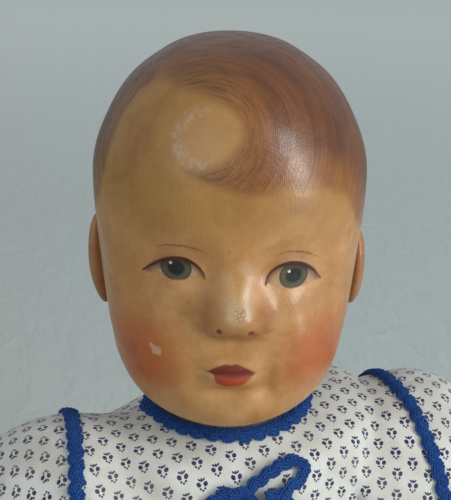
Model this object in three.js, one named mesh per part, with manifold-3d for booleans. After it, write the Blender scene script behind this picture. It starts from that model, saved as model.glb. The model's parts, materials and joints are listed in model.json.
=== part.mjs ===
// A seated cloth doll in a smock dress, in millimetres, +Z up, facing -Y, its left side at +X.
// The origin is the middle of the flat seat. Head, arms and legs turn on pinned discs.
import * as THREE from "three";
import { mergeVertices } from "three/addons/utils/BufferGeometryUtils.js";
import Module from "manifold-3d";

const wasm = await Module();
wasm.setup();

// Fits and cloth
const gap = 0.4; // between pieces that touch
const skinWall = 1.4; // muslin of the limbs and body
const headWall = 2.6; // moulded and painted cloth of the head
const dressWall = 1.4; // printed cotton
const overrun = 20; // how far a cutter runs past what it cuts

// Body
const torsoHeight = 161; // seat to the top of the shoulders
const torsoHalfWidth = 50;
const torsoHalfDepth = 40;
const hipPlane = 35.5; // half the distance between the flat flanks at the hips
const shoulderPlane = 48; // the same at the shoulders

// Joint centres
const shoulderDrop = 29; // shoulder axis under the top of the torso
const shoulderHeight = torsoHeight - shoulderDrop;
const hipHeight = 29.5;
const hipBack = 4; // how far behind the origin the hip axis lies
const neckRise = 4; // over the torso, up to the middle of the neck
const neckHeight = torsoHeight + neckRise;
const headTurn = THREE.MathUtils.degToRad(-18); // the head looks a little to the doll's right

// Head
const headWidth = 109;
const headHeight = 141;
const headDepth = 128;
const chinRise = 7; // the chin over the middle of the neck
const chinHeight = neckHeight + chinRise;
const headBack = 7; // how far the head's middle lies behind the neck
const earHeight = 33;
const earWidth = 17;
const earThickness = 7;
const neckRadius = 19;
const neckSeat = 8; // how deep the neck stands in the torso

// Arms
const armReach = 118; // shoulder to fingertips
const armRadius = 17;
const armSplay = THREE.MathUtils.degToRad(62); // of the upper arm, from straight down
const handSplay = THREE.MathUtils.degToRad(47); // of the line from shoulder to fingertips

// Legs
const legReach = 154; // hip to ankle
const thighRadius = 24;
const footLength = 60;
const footWidth = 29;
const footThickness = 24;

// Joint hardware
const hipDiscRadius = 13;
const shoulderDiscRadius = 10;
const neckDiscRadius = 13;
const discWall = 2.4;
const pinRadius = 1.8;
const pinHeadRadius = 4;
const pinHeadWall = 1.2;

// Dress and bloomers
const necklineRadius = 30;
const necklineRise = 4.4; // the neckline over the top of the torso
const necklineHeight = torsoHeight + necklineRise;
const armholeRadius = 37;
const armholePlane = 76; // half the distance between the armhole seams
const hemHalfWidth = 95; // at the doll's sides
const hemLift = 4; // hem over the floor at the back and sides
const hemFolds = 8;
const foldReach = 4; // how far a fold stands out at the hem
const waistHeight = 74; // top of the bloomers
const bloomersEase = 1.2; // air between the bloomers' legs and the doll's
const trimWidth = 7;
const trimThickness = 2.2;
const buttonRadius = 4.5;
const buttonWall = 2;
const bowDrop = 18.4; // the bow's knot under the neckline
const bowHeight = necklineHeight - bowDrop;
const bowHalfWidth = 24;
const bowCord = 5; // thickness of the crocheted tie
const bowTail = 26; // length of each hanging end

// Facets: points round each kind of shape, and rows along it
const headFacets = [28, 20];
const headLiningFacets = [14, 10];
const torsoPoints = 16;
const limbFacets = [12, 9];
const limbLiningFacets = [8, 6];
const footRows = 6;
const neckPoints = 16;
const dressPoints = 44;
const sleeveFacets = [16, 5];
const openingPoints = 20;
const discPoints = 12;
const pinPoints = 6;

// Colours and finishes
const finishes = {
  paintedFace: { color: 0xc99a6b, roughness: 0.38, metalness: 0 },
  muslin: { color: 0xd9b48c, roughness: 0.85, metalness: 0 },
  stuffing: { color: 0x9c7a52, roughness: 1, metalness: 0 },
  printedCotton: { color: 0xe9ebf0, roughness: 0.9, metalness: 0 },
  whiteCotton: { color: 0xeeeae0, roughness: 0.9, metalness: 0 },
  blueTrim: { color: 0x1f4fae, roughness: 0.9, metalness: 0 },
  plywood: { color: 0xc7a36f, roughness: 0.7, metalness: 0 },
  steel: { color: 0x9b9da1, roughness: 0.4, metalness: 1 },
  button: { color: 0xf1efe8, roughness: 0.3, metalness: 0 },
};

const doll = new THREE.Group();
const V = (x, y, z) => new THREE.Vector3(x, y, z);
const mirrored = (p, side) => V(p.x * side, p.y, p.z);
const mix = THREE.MathUtils.lerp;
const smooth = (edge0, edge1, x) => THREE.MathUtils.smoothstep(x, edge0, edge1);
const bell = (x, reach) => Math.exp(-((x / reach) ** 2) / 2);
const signedPower = (value, power) => Math.sign(value) * Math.abs(value) ** power;

// A smooth curve through the rows of a table: column 0 is the station, the others are the values there.
function sample(rows, station) {
  const last = rows.length - 1;
  let i = 0;
  while (i < last - 1 && station > rows[i + 1][0]) i += 1;
  const before = rows[Math.max(i - 1, 0)];
  const from = rows[i];
  const to = rows[i + 1];
  const after = rows[Math.min(i + 2, last)];
  const span = to[0] - from[0];
  const t = THREE.MathUtils.clamp((station - from[0]) / span, 0, 1);
  return from.slice(1).map((value, n) => {
    const c = n + 1;
    const slopeFrom = (span * (to[c] - before[c])) / (to[0] - before[0]);
    const slopeTo = (span * (after[c] - from[c])) / (after[0] - from[0]);
    const flatFrom = i === 0 ? to[c] - value : slopeFrom;
    const flatTo = i === last - 1 ? to[c] - value : slopeTo;
    return (
      value * (2 * t ** 3 - 3 * t ** 2 + 1) +
      flatFrom * (t ** 3 - 2 * t ** 2 + t) +
      to[c] * (3 * t ** 2 - 2 * t ** 3) +
      flatTo * (t ** 3 - t ** 2)
    );
  });
}

// A closed surface through rings of points, with a fan over each end.
function loft(rings) {
  const count = rings[0].length;
  const points = rings.flat();
  const centre = (ring) => ring.reduce((sum, p) => sum.add(p), V(0, 0, 0)).divideScalar(count);
  points.push(centre(rings[0]), centre(rings.at(-1)));
  const faces = [];
  for (let r = 0; r < rings.length - 1; r += 1)
    for (let i = 0; i < count; i += 1) {
      const a = r * count + i;
      const b = r * count + ((i + 1) % count);
      faces.push(a, b, b + count, a, b + count, a + count);
    }
  const top = (rings.length - 1) * count;
  for (let i = 0; i < count; i += 1) {
    const next = (i + 1) % count;
    faces.push(points.length - 2, next, i, points.length - 1, top + i, top + next);
  }
  return surface(points, faces);
}

// A closed band: sections of points that follow one another and meet again at the start.
function closedBand(sections) {
  const sides = sections[0].length;
  const faces = [];
  sections.forEach((section, s) => {
    const here = s * sides;
    const there = ((s + 1) % sections.length) * sides;
    for (let i = 0; i < sides; i += 1) {
      const j = (i + 1) % sides;
      faces.push(here + i, here + j, there + j, here + i, there + j, there + i);
    }
  });
  return surface(sections.flat(), faces);
}

function surface(points, faces) {
  const geometry = new THREE.BufferGeometry().setFromPoints(points);
  geometry.setIndex(faces);
  return geometry;
}

// A closed geometry as a solid, turned the right way round.
function solid(geometry) {
  const bare = geometry.clone();
  bare.deleteAttribute("normal");
  bare.deleteAttribute("uv");
  const merged = mergeVertices(bare, 1e-4);
  const triVerts = new Uint32Array(merged.index.array);
  const vertProperties = merged.attributes.position.array;
  const made = new wasm.Manifold(new wasm.Mesh({ numProp: 3, vertProperties, triVerts }));
  if (made.volume() > 0) return made;
  return new wasm.Manifold(new wasm.Mesh({ numProp: 3, vertProperties, triVerts: triVerts.reverse() }));
}

function geometryOf(made) {
  const mesh = made.getMesh();
  const geometry = new THREE.BufferGeometry();
  const position = new Float32Array(mesh.numVert * 3);
  for (let i = 0; i < mesh.numVert; i += 1)
    position.set(mesh.vertProperties.subarray(i * mesh.numProp, i * mesh.numProp + 3), i * 3);
  geometry.setAttribute("position", new THREE.BufferAttribute(position, 3));
  geometry.setIndex(new THREE.BufferAttribute(mesh.triVerts, 1));
  geometry.computeVertexNormals();
  return geometry;
}

function addPart(name, made, finish, group = doll) {
  const mesh = new THREE.Mesh(geometryOf(made), new THREE.MeshStandardMaterial(finishes[finish]));
  mesh.name = name;
  group.add(mesh);
}

function boxBetween(low, high) {
  const size = high.clone().sub(low);
  const middle = low.clone().add(high).multiplyScalar(1 / 2);
  return solid(new THREE.BoxGeometry(size.x, size.y, size.z).translate(middle.x, middle.y, middle.z));
}

// A round bar from one point to another, tapered where the far radius differs.
function bar(from, to, radius, sides = discPoints, farRadius = radius) {
  const axis = to.clone().sub(from);
  const turn = new THREE.Quaternion().setFromUnitVectors(V(0, 1, 0), axis.clone().normalize());
  const middle = from.clone().add(to).multiplyScalar(1 / 2);
  const geometry = new THREE.CylinderGeometry(farRadius, radius, axis.length(), sides);
  return solid(geometry.applyQuaternion(turn).translate(middle.x, middle.y, middle.z));
}

function ball(centre, radius, around) {
  const geometry = new THREE.SphereGeometry(radius, around, Math.round(around / 2)).rotateZ(Math.PI / 2);
  return solid(geometry.translate(centre.x, centre.y, centre.z));
}

// Rings along a curve. Each row of stations is [share of the way, half-width, half-thickness].
// A domed sweep starts with a round end, from rings at these shares of a quarter turn.
const domeShares = [0.2, 0.5, 0.8];
function sweep(curve, stations, lateral, [around, rows], grow = 0, domed = false) {
  const rings = [];
  for (let k = 0; k <= rows; k += 1) {
    const share = stations[0][0] + ((stations.at(-1)[0] - stations[0][0]) * k) / rows;
    const [half, thick] = sample(stations, share);
    const centre = curve.getPointAt(THREE.MathUtils.clamp(share, 0, 1));
    const along = curve.getTangentAt(THREE.MathUtils.clamp(share, 0, 1));
    const side = lateral.clone().addScaledVector(along, -lateral.dot(along)).normalize();
    const front = side.clone().cross(along);
    if (k === 0 && !domed) centre.addScaledVector(along, -grow);
    if (k === rows) centre.addScaledVector(along, grow);
    const ring = (back, scale) =>
      Array.from({ length: around }, (unused, i) => {
        const angle = (2 * Math.PI * i) / around;
        return centre
          .clone()
          .addScaledVector(along, -back)
          .addScaledVector(side, (half + grow) * scale * Math.cos(angle))
          .addScaledVector(front, (thick + grow) * scale * Math.sin(angle));
      });
    if (k === 0 && domed)
      domeShares.forEach((turnShare) => {
        const turn = (turnShare * Math.PI) / 2;
        rings.push(ring((half + grow) * Math.cos(turn), Math.sin(turn)));
      });
    rings.push(ring(0, 1));
  }
  return solid(loft(rings));
}

// Torso: rows of [share of the height, share of the half-width, share of the half-depth, squareness]
const torsoShares = [
  [0, 0.52, 0.62, 2.6],
  [0.05, 0.72, 0.83, 2.5],
  [0.16, 0.83, 0.96, 2.4],
  [0.36, 0.85, 1, 2.3],
  [0.6, 0.9, 0.93, 2.3],
  [0.8, 1, 0.83, 2.5],
  [0.9, 1, 0.76, 2.6],
  [0.95, 0.97, 0.7, 2.4],
  [0.985, 0.85, 0.65, 2.3],
  [1, 0.7, 0.6, 2.2],
];
const seatLift = dressWall + gap; // the bloomers lie under the torso
const hipRoom = thighRadius + bloomersEase + dressWall + 2 * gap; // round the hip, for the clothed leg

function torsoRing([share, halfShare, depthShare, square], shrink) {
  const half = halfShare * torsoHalfWidth - shrink;
  const depth = depthShare * torsoHalfDepth - shrink;
  const low = seatLift + shrink;
  const height = low + share * (torsoHeight - shrink - low);
  return Array.from({ length: torsoPoints }, (unused, i) => {
    const angle = (2 * Math.PI * i) / torsoPoints;
    return V(
      half * signedPower(Math.cos(angle), 2 / square),
      depth * signedPower(Math.sin(angle), 2 / square),
      height,
    );
  });
}

// The torso between its flat flanks, drawn in all round by shrink.
function torsoBody(shrink) {
  let body = solid(loft(torsoShares.map((row) => torsoRing(row, shrink))));
  sides.forEach(([, side]) => {
    body = body.subtract(flankBeyond(side, hipPlane - shrink, hipHeight + hipRoom));
    body = body.subtract(flankBeyond(side, shoulderPlane - shrink, torsoHeight + overrun));
  });
  return body;
}

// Everything farther out than a flank's plane, up to a height.
function flankBeyond(side, plane, height) {
  const reach = torsoHalfWidth + torsoHalfDepth + overrun;
  return side > 0
    ? boxBetween(V(plane, -reach, -overrun), V(reach, reach, height))
    : boxBetween(V(-reach, -reach, -overrun), V(-plane, reach, height));
}

// A pinned disc joint: a disc each side of the joint face, and a headed pin through both.
function jointHardware(centre, outward, discRadius) {
  const at = (distance) => centre.clone().addScaledVector(outward, distance);
  const inner = gap + skinWall + gap;
  const outer = inner + discWall;
  const hole = pinRadius + gap;
  const pinEnd = outer + gap;
  const disc = (from, to) =>
    bar(at(from), at(to), discRadius).subtract(bar(at(from - overrun), at(to + overrun), hole, pinPoints));
  const pin = bar(at(-pinEnd - pinHeadWall), at(-pinEnd), pinHeadRadius, pinPoints)
    .add(bar(at(-pinEnd - pinHeadWall / 2), at(pinEnd + pinHeadWall / 2), pinRadius, pinPoints))
    .add(bar(at(pinEnd), at(pinEnd + pinHeadWall), pinHeadRadius, pinPoints));
  return { bodyDisc: disc(-outer, -inner), limbDisc: disc(inner, outer), pin };
}

// The room that a joint's hardware needs in the stuffing round it, and its pin's hole in the skin.
function hardwareRoom(centre, outward, discRadius) {
  const at = (distance) => centre.clone().addScaledVector(outward, distance);
  const reach = 3 * gap + skinWall + discWall + pinHeadWall + gap;
  return bar(at(-reach), at(reach), discRadius + gap);
}

function pinHole(centre, outward) {
  const at = (distance) => centre.clone().addScaledVector(outward, distance);
  return bar(at(-overrun / 2), at(overrun / 2), pinRadius + gap, pinPoints);
}

const hipCentre = (side) => V(side * (hipPlane + gap / 2), hipBack, hipHeight);
const shoulderCentre = (side) => V(side * (shoulderPlane + gap / 2), 0, shoulderHeight);
const sides = [
  ["left", 1],
  ["right", -1],
];

// The neck and the head stand in a frame that is turned to where the doll looks.
const neckFrame = new THREE.Group();
neckFrame.position.set(0, 0, neckHeight);
neckFrame.rotation.z = headTurn;
doll.add(neckFrame);
const neckFoot = torsoHeight - neckSeat - neckHeight; // the neck's lower end, in that frame
const neckJoint = chinHeight - neckHeight + gap + skinWall; // where the head turns on the neck
const neckCentre = V(0, 0, neckJoint);
neckFrame.updateMatrixWorld();
const fromNeck = (height) => neckFrame.localToWorld(V(0, 0, height));

function buildTorso() {
  let cover = torsoBody(0).subtract(torsoBody(skinWall));
  let fill = torsoBody(skinWall + gap);
  const neckRoom = bar(fromNeck(neckFoot - gap), fromNeck(neckJoint + overrun), neckRadius + gap, neckPoints);
  cover = cover.subtract(neckRoom);
  fill = fill.subtract(neckRoom);
  sides.forEach(([, side]) => {
    const out = V(side, 0, 0);
    cover = cover.subtract(pinHole(hipCentre(side), out)).subtract(pinHole(shoulderCentre(side), out));
    fill = fill.subtract(hardwareRoom(hipCentre(side), out, hipDiscRadius));
    fill = fill.subtract(hardwareRoom(shoulderCentre(side), out, shoulderDiscRadius));
  });
  addPart("torso_cover", cover, "muslin");
  addPart("torso_stuffing", fill, "stuffing");
}

// Head. Face-on places and sizes below are shares of the head's width and height, from its middle;
// the outline rows are [height share, half-width share, front share, back share, squareness].
const headShares = [
  [-0.6, 0.32, 0.2, 0.16, 2],
  [-0.587, 0.53, 0.33, 0.2, 2],
  [-0.552, 0.72, 0.4, 0.24, 2.1],
  [-0.485, 0.83, 0.43, 0.29, 2.2],
  [-0.39, 0.88, 0.435, 0.35, 2.3],
  [-0.28, 0.92, 0.435, 0.41, 2.3],
  [-0.14, 0.96, 0.435, 0.47, 2.2],
  [0, 0.99, 0.445, 0.505, 2.15],
  [0.1, 0.98, 0.445, 0.515, 2.1],
  [0.2, 0.89, 0.42, 0.49, 2.1],
  [0.3, 0.73, 0.355, 0.42, 2],
  [0.365, 0.52, 0.265, 0.315, 2],
  [0.4, 0.34, 0.165, 0.195, 2],
  [0.415, 0.12, 0.055, 0.065, 2],
];
// Forms that stand out of the face: [across share, height share, across reach, height reach, relief share of depth]
const faceShares = [
  [0, -0.2, 0.06, 0.075, 0.045],
  [0, -0.255, 0.085, 0.034, 0.062],
  [0.1, -0.272, 0.04, 0.026, 0.024],
  [0.2, -0.115, 0.09, 0.036, -0.03],
  [0.2, -0.125, 0.07, 0.026, 0.014],
  [0.29, -0.345, 0.12, 0.085, 0.035],
  [0, -0.385, 0.09, 0.05, 0.03],
  [0, -0.362, 0.065, 0.014, 0.012],
  [0, -0.41, 0.055, 0.016, 0.014],
  [0, -0.384, 0.08, 0.006, -0.01],
  [0, -0.448, 0.08, 0.018, -0.02],
  [0, -0.51, 0.1, 0.045, 0.028],
];

function faceRelief(acrossShare, heightShare) {
  return faceShares.reduce((sum, [across, height, wide, tall, relief]) => {
    const one = bell(acrossShare - across, wide) * bell(heightShare - height, tall);
    const other = across > 0 ? bell(acrossShare + across, wide) * bell(heightShare - height, tall) : 0;
    return sum + relief * (one + other);
  }, 0);
}

const faceCrowding = 0.4;
const stationCrowding = 0.4;
const headMiddle = V(0, headBack, chinHeight - neckHeight - headShares[0][0] * headHeight);

function headBody(shrink, [around, rows], withFace) {
  const first = headShares[0][0];
  const last = headShares.at(-1)[0];
  const rings = [];
  for (let k = 0; k <= rows; k += 1) {
    // stations crowd towards the crown and the chin
    const even = k / rows;
    const eased = mix(even, (1 - Math.cos(Math.PI * even)) / 2, stationCrowding);
    const share = mix(first, last, eased);
    const [halfShare, frontShare, backShare, square] = sample(headShares, share);
    const half = (halfShare * headWidth) / 2 - shrink;
    rings.push(
      Array.from({ length: around }, (unused, i) => {
        // points crowd towards the face, which is at the turn of -90 degrees
        const turn = (2 * Math.PI * i) / around;
        const angle = turn - faceCrowding * Math.sin(turn) - Math.PI / 2;
        const across = half * signedPower(Math.cos(angle), 2 / square);
        const depthShare = Math.sin(angle) < 0 ? frontShare : backShare;
        let depth = (depthShare * headDepth - shrink) * signedPower(Math.sin(angle), 2 / square);
        const facing = smooth(0, 0.5, -Math.sin(angle));
        if (withFace) depth -= headDepth * facing * faceRelief(across / headWidth, share);
        const rise = share > 0 ? -shrink : 0;
        const fall = share < 0 ? shrink : 0;
        const stretch = Math.abs(eased - 1 / 2) * 2;
        return V(across, depth, share * headHeight + (rise + fall) * stretch).add(headMiddle);
      }),
    );
  }
  return solid(loft(rings));
}

function ear(side) {
  const earShares = { across: 0.485, back: 0.06, height: -0.225 };
  const centre = V(
    side * earShares.across * headWidth,
    earShares.back * headDepth,
    earShares.height * headHeight,
  ).add(headMiddle);
  const lobe = new THREE.SphereGeometry(1, 10, 7);
  lobe.scale(earThickness, earWidth / 2, earHeight / 2);
  const hollow = new THREE.SphereGeometry(1, 6, 5);
  hollow.scale(earThickness / 2, earWidth / 4, earHeight / 4);
  hollow.translate(side * earThickness * 0.8, -earWidth / 6, earHeight / 12);
  const turn = new THREE.Matrix4().makeRotationFromEuler(new THREE.Euler(0.12, 0, side * 0.45));
  const place = turn.setPosition(centre);
  return solid(lobe.applyMatrix4(place)).subtract(solid(hollow.applyMatrix4(place)));
}

function buildHead() {
  const opening = bar(V(0, 0, -overrun), V(0, 0, neckJoint + overrun / 2), neckRadius - gap, neckPoints);
  let shell = headBody(0, headFacets, true);
  sides.forEach(([, side]) => {
    shell = shell.add(ear(side));
  });
  // the underside is flat where the head turns on the neck disc
  const flat = boxBetween(
    V(-headWidth, -headDepth, -headHeight),
    V(headWidth, headDepth, neckJoint - skinWall),
  );
  shell = shell.subtract(flat).subtract(headBody(headWall, headLiningFacets, false));
  const hardware = jointHardware(neckCentre, V(0, 0, 1), neckDiscRadius);
  addPart("head_shell", shell.subtract(opening), "paintedFace", neckFrame);
  const room = hardwareRoom(neckCentre, V(0, 0, 1), neckDiscRadius);
  const fill = headBody(headWall + gap, headLiningFacets, false);
  addPart("head_stuffing", fill.subtract(room), "stuffing", neckFrame);
  addPart("head_neck_disc", hardware.limbDisc, "plywood", neckFrame);
  addPart("neck_disc", hardware.bodyDisc, "plywood", neckFrame);
  addPart("neck_pin", hardware.pin, "steel", neckFrame);
}

// The stuffed neck stands in the torso's opening and carries the neck disc.
function buildNeck() {
  const top = neckJoint - gap / 2;
  const rings = [
    [neckFoot, 0.98],
    [mix(neckFoot, top, 0.3), 1],
    [mix(neckFoot, top, 0.7), 0.94],
    [top, 0.9],
  ].map(([height, share]) =>
    Array.from({ length: neckPoints }, (unused, i) => {
      const angle = (2 * Math.PI * i) / neckPoints;
      return V(share * neckRadius * Math.cos(angle), share * neckRadius * Math.sin(angle), height);
    }),
  );
  const room = hardwareRoom(neckCentre, V(0, 0, 1), neckDiscRadius);
  addPart("neck", solid(loft(rings)).subtract(room), "muslin", neckFrame);
}

// Arm and hand: rows of [share of the way, share of the arm's radius, the same front to back]
const armShares = [
  [0, 1, 1],
  [0.2, 1, 1],
  [0.42, 0.82, 0.84],
  [0.56, 0.87, 0.87],
  [0.77, 0.6, 0.62],
  [0.86, 0.73, 0.46],
  [0.94, 0.66, 0.4],
  [0.98, 0.42, 0.3],
  [1, 0.16, 0.14],
];

const shoulderSeatShare = 0.66; // how far out of the joint face the round shoulder's middle lies
const hipSeatShare = 0.7;

// The arm's line, from inside the shoulder to the fingertips. It bends forward at the elbow.
function armLine(side) {
  const start = V(shoulderPlane + gap + armRadius * shoulderSeatShare, 0, shoulderHeight);
  const point = (along, forward) => {
    const splay = mix(armSplay, handSplay, smooth(0, 1, along));
    const place = V(along * Math.sin(splay), -forward, -along * Math.cos(splay)).multiplyScalar(armReach);
    return mirrored(start.clone().add(place), side);
  };
  return new THREE.CatmullRomCurve3([
    point(0, 0),
    point(0.22, 0),
    point(0.45, 0.015),
    point(0.7, 0.09),
    point(0.85, 0.16),
    point(1, 0.23),
  ]);
}

// The outside of an arm, with a round shoulder that is flat where it meets the body.
function armBody(side, grow, facets) {
  const line = armLine(side);
  const stations = armShares.map(([share, half, thick]) => [share, half * armRadius, thick * armRadius]);
  const limb = sweep(line, stations, V(0, 1, 0), facets, grow, true);
  return limb.subtract(beyond(side, shoulderPlane + gap - Math.min(grow, 0), shoulderHeight));
}

// Everything on the body's side of a joint face.
function beyond(side, plane, height) {
  const reach = armReach + overrun;
  return side > 0
    ? boxBetween(V(-reach, -reach, height - reach), V(plane, reach, height + reach))
    : boxBetween(V(-plane, -reach, height - reach), V(reach, reach, height + reach));
}

// The thumb is sewn to the inner edge of the palm.
const palmShare = 0.86; // of the way down the arm
const thumbShares = [
  [0, 0.7, 0.7],
  [0.4, 1, 1],
  [0.85, 0.9, 0.9],
  [1, 0.4, 0.4],
];
function thumb(side) {
  const line = armLine(side);
  const palm = line.getPointAt(palmShare);
  const along = line.getTangentAt(palmShare);
  const front = V(0, -1, 0).addScaledVector(along, along.y).normalize();
  const [palmHalf] = sample(armShares, palmShare);
  const reach = armRadius / 4;
  const root = palm.addScaledVector(front, palmHalf * armRadius + gap + reach / 3);
  const middle = root.clone().addScaledVector(front, reach).addScaledVector(along, reach);
  const tip = middle.clone().addScaledVector(along, 2 * reach).addScaledVector(front, reach / 2);
  const curve = new THREE.CatmullRomCurve3([root.addScaledVector(along, -reach), middle, tip]);
  const rows = thumbShares.map(([share, half, thick]) => [share, half * reach, thick * reach]);
  return sweep(curve, rows, V(side, 0, 0), [8, 4]);
}

function buildArm(name, side) {
  const out = V(side, 0, 0);
  const centre = shoulderCentre(side);
  const hardware = jointHardware(centre, out, shoulderDiscRadius);
  const room = hardwareRoom(centre, out, shoulderDiscRadius);
  const hollow = armBody(side, -skinWall, limbLiningFacets);
  const cover = armBody(side, 0, limbFacets).subtract(hollow).subtract(pinHole(centre, out));
  addPart(`${name}_arm_cover`, cover, "muslin");
  addPart(`${name}_arm_stuffing`, armBody(side, -skinWall - gap, limbLiningFacets).subtract(room), "stuffing");
  addPart(`${name}_thumb`, thumb(side), "muslin");
  addPart(`${name}_shoulder_body_disc`, hardware.bodyDisc, "plywood");
  addPart(`${name}_shoulder_arm_disc`, hardware.limbDisc, "plywood");
  addPart(`${name}_shoulder_pin`, hardware.pin, "steel");
}

// Leg and foot: the leg's rows are [share of the way, share of the thigh's radius, the same top to bottom]
const legShares = [
  [0, 0.98, 0.98],
  [0.18, 1.02, 1],
  [0.5, 0.8, 0.8],
  [0.62, 0.78, 0.8],
  [0.78, 0.74, 0.78],
  [0.93, 0.52, 0.56],
  [1, 0.5, 0.56],
];
const footShares = [
  [0, 0.3, 0.3],
  [0.06, 0.62, 0.78],
  [0.2, 0.8, 1],
  [0.45, 0.84, 0.78],
  [0.72, 1, 0.58],
  [0.9, 0.9, 0.44],
  [1, 0.42, 0.2],
];
const floorGap = 0.6; // the bare heel over the seat's level

function legLine(side) {
  const start = V(hipPlane + gap + thighRadius * hipSeatShare, hipBack, hipHeight);
  const point = (out, along, rise) => mirrored(start.clone().add(V(out, -along, rise).multiplyScalar(legReach)), side);
  return new THREE.CatmullRomCurve3([
    point(0, 0, 0),
    point(0.02, 0.24, 0),
    point(0.05, 0.5, -0.015),
    point(0.085, 0.75, -0.05),
    point(0.12, 1, -0.04),
  ]);
}

function footLine(side) {
  const ankle = legLine(side).getPointAt(1);
  const heelHeight = floorGap;
  const toeOut = footLength * 0.22;
  return new THREE.CatmullRomCurve3([
    V(ankle.x, ankle.y - footThickness * 0.1, heelHeight),
    V(ankle.x + side * toeOut * 0.4, ankle.y - footThickness * 0.22, heelHeight + footLength * 0.45),
    V(ankle.x + side * toeOut, ankle.y - footThickness * 0.62, heelHeight + footLength * 0.95),
  ]);
}

function legBody(side, grow, facets, withFoot = true) {
  const line = legLine(side);
  const stations = legShares.map(([share, half, thick]) => [share, half * thighRadius, thick * thighRadius]);
  let leg = sweep(line, stations, V(1, 0, 0), facets, grow, true);
  if (withFoot) {
    const rows = footShares.map(([share, half, thick]) => [
      share,
      (half * footWidth) / 2,
      (thick * footThickness) / 2,
    ]);
    leg = leg.add(sweep(footLine(side), rows, V(1, 0, 0), [facets[0], footRows], grow));
  }
  const reach = 2 * legReach;
  const below = boxBetween(V(-reach, -reach, -reach), V(reach, reach, floorGap - Math.min(grow, 0)));
  return leg.subtract(below).subtract(beyond(side, hipPlane + gap - Math.min(grow, 0), hipHeight));
}

function buildLeg(name, side) {
  const out = V(side, 0, 0);
  const centre = hipCentre(side);
  const hardware = jointHardware(centre, out, hipDiscRadius);
  const cover = legBody(side, 0, limbFacets)
    .subtract(legBody(side, -skinWall, limbLiningFacets))
    .subtract(pinHole(centre, out));
  addPart(`${name}_leg_cover`, cover, "muslin");
  const fill = legBody(side, -skinWall - gap, limbLiningFacets);
  addPart(`${name}_leg_stuffing`, fill.subtract(hardwareRoom(centre, out, hipDiscRadius)), "stuffing");
  addPart(`${name}_hip_body_disc`, hardware.bodyDisc, "plywood");
  addPart(`${name}_hip_leg_disc`, hardware.limbDisc, "plywood");
  addPart(`${name}_hip_pin`, hardware.pin, "steel");
}

// Dress: rows of [turn from the front in degrees, then shares of the hem's half-width and the neckline's height:
// chest radius, chest height, waist radius, waist height, hip radius, hip height, hem radius, hem height]
const dressShares = [
  [0, 0.53, 0.76, 0.58, 0.57, 0.66, 0.46, 0.9, 0.41],
  [25, 0.56, 0.76, 0.62, 0.57, 0.72, 0.46, 0.95, 0.41],
  [40, 0.62, 0.76, 0.66, 0.57, 0.82, 0.44, 1.04, 0.39],
  [52, 0.65, 0.76, 0.67, 0.56, 0.94, 0.4, 1.14, 0.31],
  [62, 0.66, 0.76, 0.67, 0.55, 0.99, 0.36, 1.14, 0.24],
  [75, 0.66, 0.76, 0.66, 0.55, 0.95, 0.31, 1.07, 0.1],
  [90, 0.66, 0.76, 0.66, 0.55, 0.9, 0.3, 1, 0.02],
  [135, 0.58, 0.76, 0.65, 0.56, 0.78, 0.3, 0.94, 0],
  [180, 0.48, 0.76, 0.54, 0.57, 0.61, 0.3, 0.76, 0],
];
// the same rows with one more at each end, so that the cloth runs on smoothly across the front and the back
const turnedRow = ([turn, ...shares], about) => [2 * about - turn, ...shares];
const frontTurn = dressShares[0][0];
const backTurn = dressShares.at(-1)[0];
const dressRows = [turnedRow(dressShares[1], frontTurn), ...dressShares, turnedRow(dressShares.at(-2), backTurn)];
// the shoulder line of the dress at the front and the sides, as shares of the same
const yokeShares = { front: 0.49, side: 0.66, frontHeight: 0.93, sideHeight: 0.955, chestHeight: 0.87 };
const waistLevel = 4; // the folds start below it

// One vertical line of the dress, from the collar to the hem, as [radius, height] pairs.
function dressLine(turnDegrees, shrink) {
  const [chestR, chestZ, waistR, waistZ, hipR, hipZ, hemR, hemZ] = sample(dressRows, turnDegrees);
  const sideways = Math.sin(THREE.MathUtils.degToRad(turnDegrees)) ** 2;
  const shoulder = mix(yokeShares.front, yokeShares.side, sideways);
  const hemShare = Math.max(hemZ, hemLift / necklineHeight);
  const shares = [
    [shoulder, mix(yokeShares.frontHeight, yokeShares.sideHeight, sideways)],
    [mix(shoulder, chestR, 0.65), yokeShares.chestHeight],
    [chestR, chestZ],
    [waistR, waistZ],
    [hipR, hipZ],
    [mix(hipR, hemR, 0.5), mix(hipZ, hemShare, 0.45)],
    [hemR, hemShare],
  ];
  const rows = shares.map(([radius, height]) => [radius * hemHalfWidth - shrink, height * necklineHeight]);
  rows[0][1] -= shrink; // the yoke slopes, so its wall is measured downwards too
  return [[necklineRadius + dressWall - shrink / 2, necklineHeight - shrink], ...rows];
}

// How far a fold stands out of the cloth at one level of the dress.
function foldAt(angle, level, levels) {
  const growth = Math.max(0, (level - waistLevel) / (levels - 1 - waistLevel)) ** 1.5;
  return (foldReach * growth * (1 + Math.cos(hemFolds * angle + Math.sin(3 * angle)))) / 2;
}

// The points of the cloth at one turn round the dress, drawn in by shrink.
function dressColumn(angle, shrink) {
  const turn = Math.acos(THREE.MathUtils.clamp(Math.cos(angle), -1, 1));
  const line = dressLine(THREE.MathUtils.radToDeg(turn), shrink);
  return line.map(([radius, height], level) => {
    const reach = radius + foldAt(angle, level, line.length);
    return V(reach * Math.sin(angle), -reach * Math.cos(angle), height);
  });
}

// The dress as a filled bell, drawn in all round by shrink.
function dressBell(shrink) {
  const columns = Array.from({ length: dressPoints }, (unused, i) =>
    dressColumn((2 * Math.PI * i) / dressPoints, shrink),
  );
  const rings = columns[0].map((unused, level) => columns.map((column) => column[level]));
  if (shrink > 0) {
    // the hollow runs on past the hem, in the line of the cloth
    const [before, last] = rings.slice(-2);
    rings.push(last.map((p, i) => p.clone().multiplyScalar(2).sub(before[i])));
  }
  return solid(loft(rings));
}

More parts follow.
